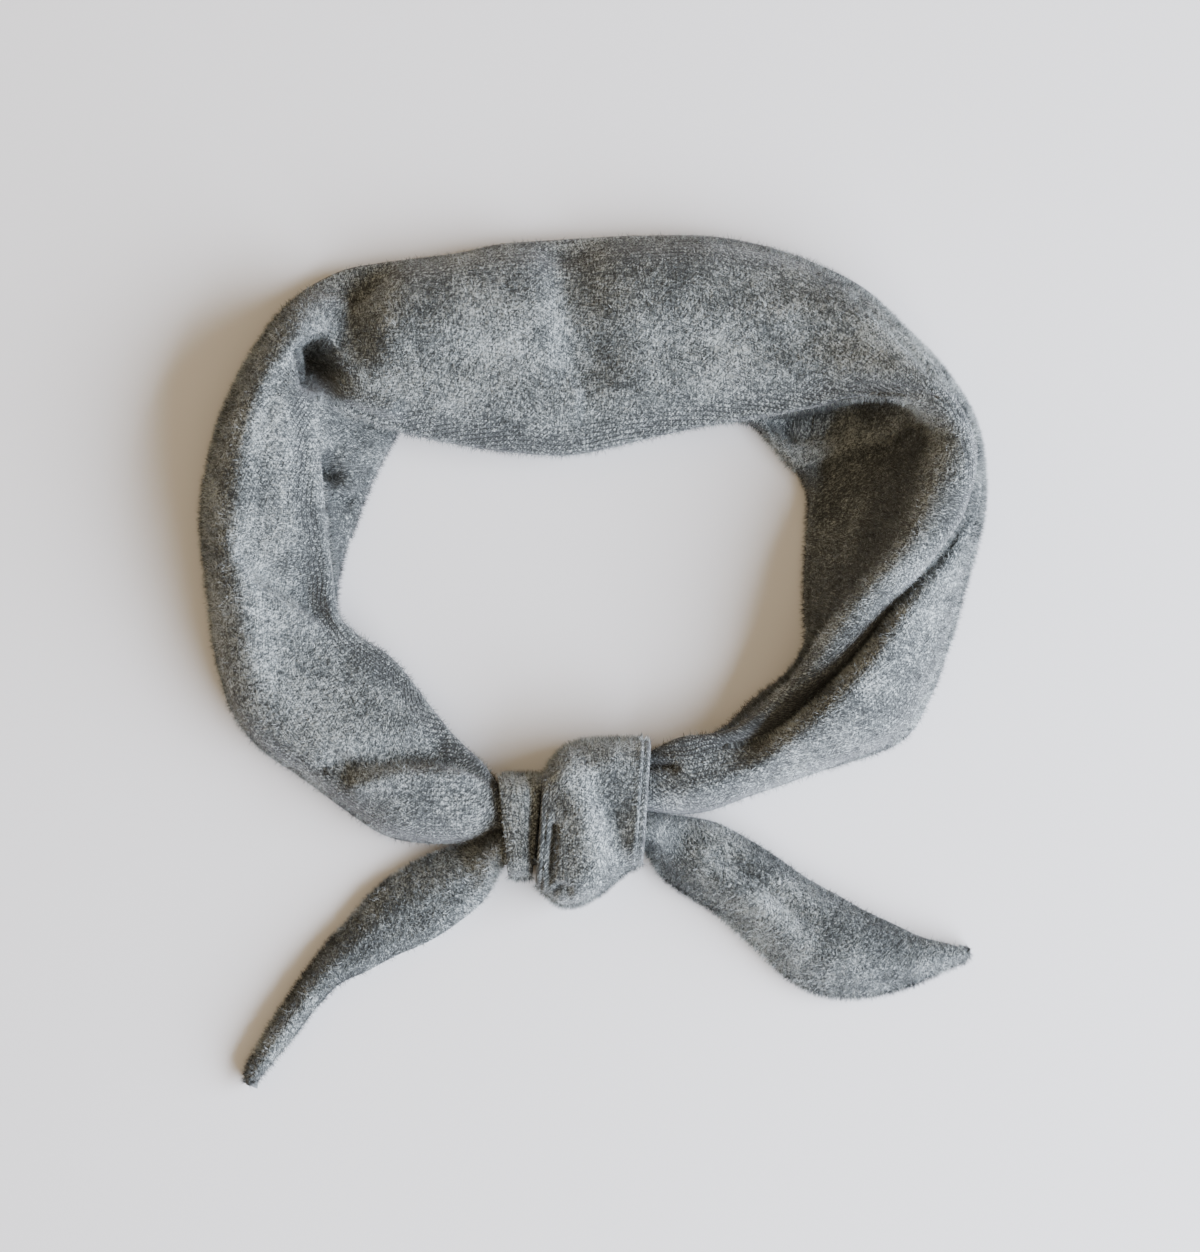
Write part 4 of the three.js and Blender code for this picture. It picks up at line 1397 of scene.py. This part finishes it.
@dataclass
class Tail(Cloth):
    """A tail from inside the knot to its tip, folded along one edge."""

    side: int = 1
    room: str = "right tail"
    folds_near: bool = False
    rows: Sequence[TailSection] = ()
    angle: float = 0.0
    length: float = 0.1
    width: float = 0.02
    stations: int = 110

    def keys(self, fold: Array, free: Array, lift: Array, puff: Array, crease: Array) -> Array:
        """The places that the middle of the cloth passes through in each section.

        Args:
            fold: the folded edge.
            free: the free edge.
            lift: how high the lower layer lies.
            puff: how far the upper layer swells.
            crease: how far its middle sinks back, as a share of the puff.

        Returns:
            Nine keys for each section, sections first.
        """
        under = lift + WALL / 2
        over = under + 2 * FOLD_RADIUS
        inward = unit(at_height(free - fold, 0.0))
        tip = at_height(fold + inward * WALL / 2, under + FOLD_RADIUS)
        back = tip + inward * FOLD_RADIUS
        edge = free - inward * WALL / 2

        def on_top(share: float, height: Array) -> Array:
            """The place at a share of the way from the fold to the free edge."""
            return at_height(back + share * (edge - back), height)

        keys = [
            at_height(edge, under), on_top(0.5, under), at_height(back, under), tip,
            at_height(back, over),
            on_top(CROWN_NEAR, over + puff),
            on_top(CROWN_CREASED, over + puff * (1 - crease)),
            on_top(CROWN_FAR, over + puff * CROWN_FAR_RISE),
            at_height(edge, over),
        ]
        return np.stack(keys, axis=1)

    def surface(self) -> Array:
        """Lofts the tail and rumples it.

        Returns:
            The grid of points on its outside.
        """
        ahead = plan(math.cos(self.angle), math.sin(self.angle))
        aside = plan(-math.sin(self.angle), math.cos(self.angle))
        low, high = knot_rooms()[self.room]
        x = strand_places(self.side)
        start = plan(x[-1], high)
        near = start + self.length * (
            column(self.rows, "near_at")[:, None] * ahead
            + column(self.rows, "near_aside")[:, None] * aside
        )
        far = near + self.width * (
            column(self.rows, "across_ahead")[:, None] * ahead
            + column(self.rows, "across_aside")[:, None] * aside
        )
        near = np.concatenate([plan(x, high), near])
        far = np.concatenate([plan(x, low + LAYER_GAP), far])
        inside = STRAND_HEIGHT - 2 * FOLD_RADIUS - WALL - LAYER_GAP
        lift = np.concatenate([np.full(len(x), KNOT_FLOOR), np.zeros(len(self.rows))])
        puff = np.concatenate([np.full(len(x), inside), column(self.rows, "puff") * TAIL_PUFF])
        crease = np.concatenate([np.zeros(len(x)), column(self.rows, "crease")])
        ends = (near, far) if self.folds_near else (far, near)
        zones = ((0, 2, 12), (2, 4, 8), (4, 8, 44))
        middle = loft(self.keys(*ends, lift, puff, crease), self.stations, zones)
        away = outward(middle)
        if away[self.stations // 2, 40, 2] < 0:
            away = -away
        outside = middle + away * WALL / 2
        return on_the_table(rumpled(outside, away, self.seed))


class FibreTone(Enum):
    """The dyed wools of the melange, from white to charcoal."""

    WHITE = "#BCC1BD"
    PALE = "#959B98"
    GREY = "#6B716F"
    SLATE = "#474B4A"
    CHARCOAL = "#292C2B"


@dataclass(frozen=True)
class WoolFibre:
    """Dyed wool fibre, raised by brushing. Each has one tone from end to end.

    The eye gets single light and dark hairs with a faint sheen, which blur the cloth's edge.
    """

    tone: FibreTone

    def material(self) -> bpy.types.Material:
        """Builds the shader, whose sockets hold plain values.

        Returns:
            The material.
        """
        material, tree, output = new_material(f"wool_fibre_{self.tone.name.lower()}")
        shader = add_node(tree, "ShaderNodeBsdfPrincipled", {
            "Base Color": linear(self.tone.value),
            "Roughness": 0.75,
            "IOR": 1.54,
            "Specular IOR Level": 0.2,
            "Sheen Weight": 0.3,
        })
        tree.links.new(shader.outputs["BSDF"], output.inputs["Surface"])
        return material


@dataclass
class Nap:
    """The loose fibres that brushing has raised from a stretch of cloth, in a few joined pieces."""

    cloth: Cloth
    pieces: int
    per_piece: int
    length: float = 1.25 * MM
    spread: float = 0.35
    shortest: float = 0.5 * MM
    longest: float = 2.4 * MM
    radius: float = 0.075 * MM
    sunk: float = 0.15 * MM
    # Fewer fibres where the knit is bare, and more where the cloth turns edgeways
    bare_limit: float = 1.08
    bare_power: float = 1.8
    edge_gain: float = 4.0
    # How far a fibre stands up, in degrees, and what an edge adds to that and to its length
    stands_least: float = 4.0
    stands_range: float = 75.0
    stands_at_edge: float = 30.0
    longer_at_edge: float = 0.45
    # A fibre's tone: what chance gives, what the cloth's tone beneath gives, painted shade and highlight
    # included, and what it starts from
    tone_chance: float = 0.85
    tone_from_cloth: float = 0.62
    tone_base: float = 0.07
    # The room inside the knot where no fibre shows: how far in from its ends, and its half depth
    knot_inset: float = 1.5 * MM
    knot_reach: float = 26 * MM

    def scatter(self, random: np.random.Generator) -> tuple[Array, Array, Array, Array]:
        """Picks where the fibres stand.

        Args:
            random: the seeded source of chance.

        Returns:
            For each fibre its root, the way out of the cloth, the way along it and the cloth's tone there,
            painted shade and highlight included.
        """
        grid = self.cloth.grid
        away = outward_at_top(grid)
        near, ahead, aside = grid[:-1, :-1], grid[1:, :-1], grid[:-1, 1:]
        area = np.linalg.norm(np.cross(ahead - near, aside - near), axis=-1)
        shown = (away[:-1, :-1, 2] > -0.35) & (near[..., 2] > 0.3 * MM) & ~self.hidden(near)
        edgeways = 1 - np.abs(away[:-1, :-1, 2])
        napped = (self.bare_limit - self.cloth.bare[:-1, :-1]) ** self.bare_power
        weight = (area * shown * napped * (1 + self.edge_gain * edgeways ** 2)).ravel()
        pick = random.choice(weight.size, self.per_piece, p=weight / weight.sum())
        i, j = np.unravel_index(pick, shown.shape)
        u, v = random.random((2, self.per_piece, 1))
        root = (1 - u) * (1 - v) * grid[i, j] + u * (1 - v) * grid[i + 1, j]
        root = root + (1 - u) * v * grid[i, j + 1] + u * v * grid[i + 1, j + 1]
        return root, away[i, j], unit(grid[i + 1, j] - grid[i, j]), self.cloth.tone_and_light[i, j]

    def hidden(self, points: Array) -> Array:
        """Which points lie inside the knot, where no fibre shows.

        Args:
            points: points on the cloth.

        Returns:
            True for those inside, and False for all of a turn of the knot.
        """
        middle = np.array([KNOT_MIDDLE.x, KNOT_MIDDLE.y])
        off = np.abs(points[..., :2] - middle)
        inside = (off[..., 0] < KNOT_HALF - self.knot_inset) & (off[..., 1] < self.knot_reach)
        return inside & (not isinstance(self.cloth, KnotTurn))

    def build(self, finishes: list[bpy.types.Material]) -> list[bpy.types.Object]:
        """Makes the pieces, each of fibres in every tone.

        Args:
            finishes: one material for each tone.

        Returns:
            The pieces.
        """
        points, faces = small_rod(3, 0.0, 0.5)
        made = []
        for number in range(self.pieces):
            random = np.random.default_rng([int(self.cloth.seed * 10), number])
            root, out, along, tone_and_light = self.scatter(random)
            count = len(root)
            turn = random.uniform(0, 2 * math.pi, (count, 1))
            across = np.cross(out, along)
            edgeways = 1 - np.abs(out[:, 2:])
            stands = random.beta(1.2, 2.6, (count, 1)) * self.stands_range + self.stands_least
            lift = np.radians(stands + self.stands_at_edge * edgeways)
            flat = np.cos(turn) * along + np.sin(turn) * across
            way = np.cos(lift) * flat + np.sin(lift) * out
            side = unit(np.cross(way, out))
            up = np.cross(way, side)
            growth = self.spread * random.normal(size=(count, 1)) + self.longer_at_edge * edgeways
            length = np.clip(self.length * np.exp(growth), self.shortest, self.longest)
            radius = self.radius * random.uniform(0.7, 1.3, (count, 1))
            root = root - way * self.sunk
            placed = (
                root[:, None] + points[None, :, 0:1] * (radius * side)[:, None]
                + points[None, :, 1:2] * (radius * up)[:, None]
                + points[None, :, 2:3] * (length * way)[:, None]
            )
            placed[..., 2] = np.maximum(placed[..., 2], 0.02 * MM)
            chance = random.random(count) * self.tone_chance
            tone = np.clip(chance + self.tone_from_cloth * (0.5 - tone_and_light) + self.tone_base, 0, 0.999)
            piece = joined(f"{self.cloth.name}_nap_{number + 1}", placed, faces, finishes)
            wool = np.repeat((tone * len(finishes)).astype(int), len(faces))
            piece.data.polygons.foreach_set("material_index", wool)
            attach(piece, "root")
            log.info("%s: %d fibres", piece.name, count)
            made.append(piece)
        return made


@dataclass
class Stitches:
    """Dark sewing stitches along the seams of a stretch of cloth, as one joined piece."""

    cloth: Cloth
    seams: Sequence[Seam]
    pitch: float = 1.7 * MM
    long: float = 1.15 * MM
    thick: float = 0.2 * MM
    faces_up: float = 0.2

    def build(self, finish: bpy.types.Material) -> bpy.types.Object:
        """Makes the stitches, each pressed half its thickness into the cloth.

        Args:
            finish: the thread's material.

        Returns:
            The piece.
        """
        points, faces = small_rod(6, 1.0, 0.0)
        grid = self.cloth.grid
        away = outward_at_top(grid)
        placed = []
        for seam in self.seams:
            start = np.array([seam.from_x, seam.from_y]) * MM
            line = np.array([seam.to_x, seam.to_y]) * MM - start
            count = max(2, round(float(np.linalg.norm(line)) / self.pitch))
            for share in (np.arange(count) + 0.5) / count:
                gap = np.linalg.norm(grid[..., :2] - (start + share * line), axis=-1)
                gap = gap + (away[..., 2] < self.faces_up)
                i, j = np.unravel_index(gap.argmin(), gap.shape)
                out = away[i, j]
                way = unit(np.array([*line, 0.0]) - out * (np.array([*line, 0.0]) @ out))
                side = np.cross(way, out)
                placed.append(
                    grid[i, j] + points[:, 0:1] * self.thick * side
                    + points[:, 1:2] * self.thick * out + points[:, 2:3] * self.long * way
                )
        piece = joined(f"{self.cloth.name}_stitches", np.stack(placed), faces, [finish])
        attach(piece, "root")
        log.info("%s: %d stitches", piece.name, len(placed))
        return piece


@dataclass
class Studio:
    """The floor, the lights and the camera, which looks straight down."""

    middle: tuple[float, float] = (2.82 * MM, 9.76 * MM)
    frame_height: float = 363.1 * MM
    distance: float = 1.5
    sensor: float = 36.0

    def camera(self) -> None:
        """Hangs the camera over the middle of the picture."""
        data = bpy.data.cameras.new("camera")
        data.sensor_width = self.sensor
        data.lens = self.sensor * self.distance / self.frame_height
        data.clip_start, data.clip_end = 0.01, 10.0
        camera = put_in_scene("camera", data)
        camera.location = (*self.middle, self.distance)
        bpy.context.scene.camera = camera

    def floor(self) -> None:
        """Lays the pale floor."""
        sheet = bmesh.new()
        bmesh.ops.create_grid(sheet, x_segments=1, y_segments=1, size=2.0)
        mesh = bpy.data.meshes.new("floor")
        sheet.to_mesh(mesh)
        sheet.free()
        floor = put_in_scene("floor", mesh)
        mesh.materials.append(PalePaint().material())

    def light(self, name: str, place: tuple, size: tuple, power: float, colour: str) -> None:
        """Hangs a soft box that looks at the origin, inside the loop.

        Args:
            name: the light's name.
            place: where it hangs.
            size: its width and height.
            power: in watts.
            colour: its sRGB colour.
        """
        data = bpy.data.lights.new(name, "AREA")
        data.shape = "RECTANGLE"
        data.size, data.size_y = size
        data.energy = power
        data.color = linear(colour)[:3]
        lamp = put_in_scene(name, data)
        lamp.location = place
        lamp.rotation_euler = (-Vector(place)).to_track_quat("-Z", "Y").to_euler()

    def build(self) -> None:
        """Sets up the whole studio: cool daylight from the lower right, warm fill from the upper left."""
        self.camera()
        self.floor()
        self.light("window", (1.26, -0.56, 0.6), (2.4, 1.2), 188.0, "#E2EBFF")
        self.light("fill", (-1.2, 0.9, 1.2), (1.5, 1.5), 4.0, "#FFDCAC")
        world = bpy.data.worlds.new("room")
        world.use_nodes = True
        background = world.node_tree.nodes["Background"]
        background.inputs["Color"].default_value = linear("#FFE8C8")
        background.inputs["Strength"].default_value = 0.56
        bpy.context.scene.world = world


def kerchief() -> list[tuple[Cloth, int, int]]:
    """The five stretches of the kerchief.

    Returns:
        Each stretch with its number of pieces of nap and the fibres in each piece.
    """
    small_width = SMALL_HIGH.x - SMALL_LOW.x
    large_width = LARGE_HIGH.x - LARGE_LOW.x
    felt = {part: MelangeKnit(f"melange_felt_{part}") for part in ("band", "knot", "tails")}
    return [
        (NeckBand("neck_band", "melange_knit_band", (0.125, 0.5), 3.1, felt["band"]), 3, 44000),
        (KnotTurn("knot_wrap_small", "melange_knit_knot", (0.011, 0.09), 5.7, felt["knot"],
                  rows=SMALL_SECTIONS, left=SMALL_LOW.x, width=small_width, depth=SMALL_DEPTH,
                  lean_left=-3.0 * MM, lean_right=3.2 * MM, creases=SMALL_CREASES, stations=30), 1, 1800),
        (KnotTurn("knot_wrap_large", "melange_knit_knot", (0.0304, 0.125), 8.3, felt["knot"],
                  rows=LARGE_SECTIONS, left=LARGE_LOW.x, width=large_width, depth=LARGE_DEPTH,
                  lean_left=3.2 * MM, lean_right=3.2 * MM, bead_left=0.9 * MM, bead_right=0.9 * MM,
                  creases=KNOT_CREASES, stations=68), 1, 7000),
        (Tail("tail_left", "melange_knit_tails", (0.036, 0.105), 11.9, felt["tails"],
              side=-1, room="left tail", folds_near=True, rows=TAIL_LEFT_SECTIONS,
              angle=math.radians(-134.4), length=103.5 * MM, width=22 * MM), 1, 14000),
        (Tail("tail_right", "melange_knit_tails", (0.05, 0.11), 14.3, felt["tails"],
              side=1, room="right tail", folds_near=False, rows=TAIL_RIGHT_SECTIONS,
              angle=math.radians(-23.4), length=100.7 * MM, width=27 * MM), 1, 20000),
    ]


def main() -> None:
    """Builds the studio and every stretch of the kerchief."""
    logging.basicConfig(level=logging.INFO, format="%(name)s: %(message)s")
    Studio().build()
    fibres = [WoolFibre(tone).material() for tone in FibreTone]
    seams = {"neck_band": BAND_SEAMS, "knot_wrap_large": KNOT_SEAMS}
    for cloth, pieces, per_piece in kerchief():
        piece = cloth.build()
        lying = Nap(cloth, pieces, per_piece).build(fibres)
        if cloth.name in seams:
            lying.append(Stitches(cloth, seams[cloth.name]).build(fibres[-1]))
        cloth.dress(piece, lying)


if __name__ == "__main__":
    main()
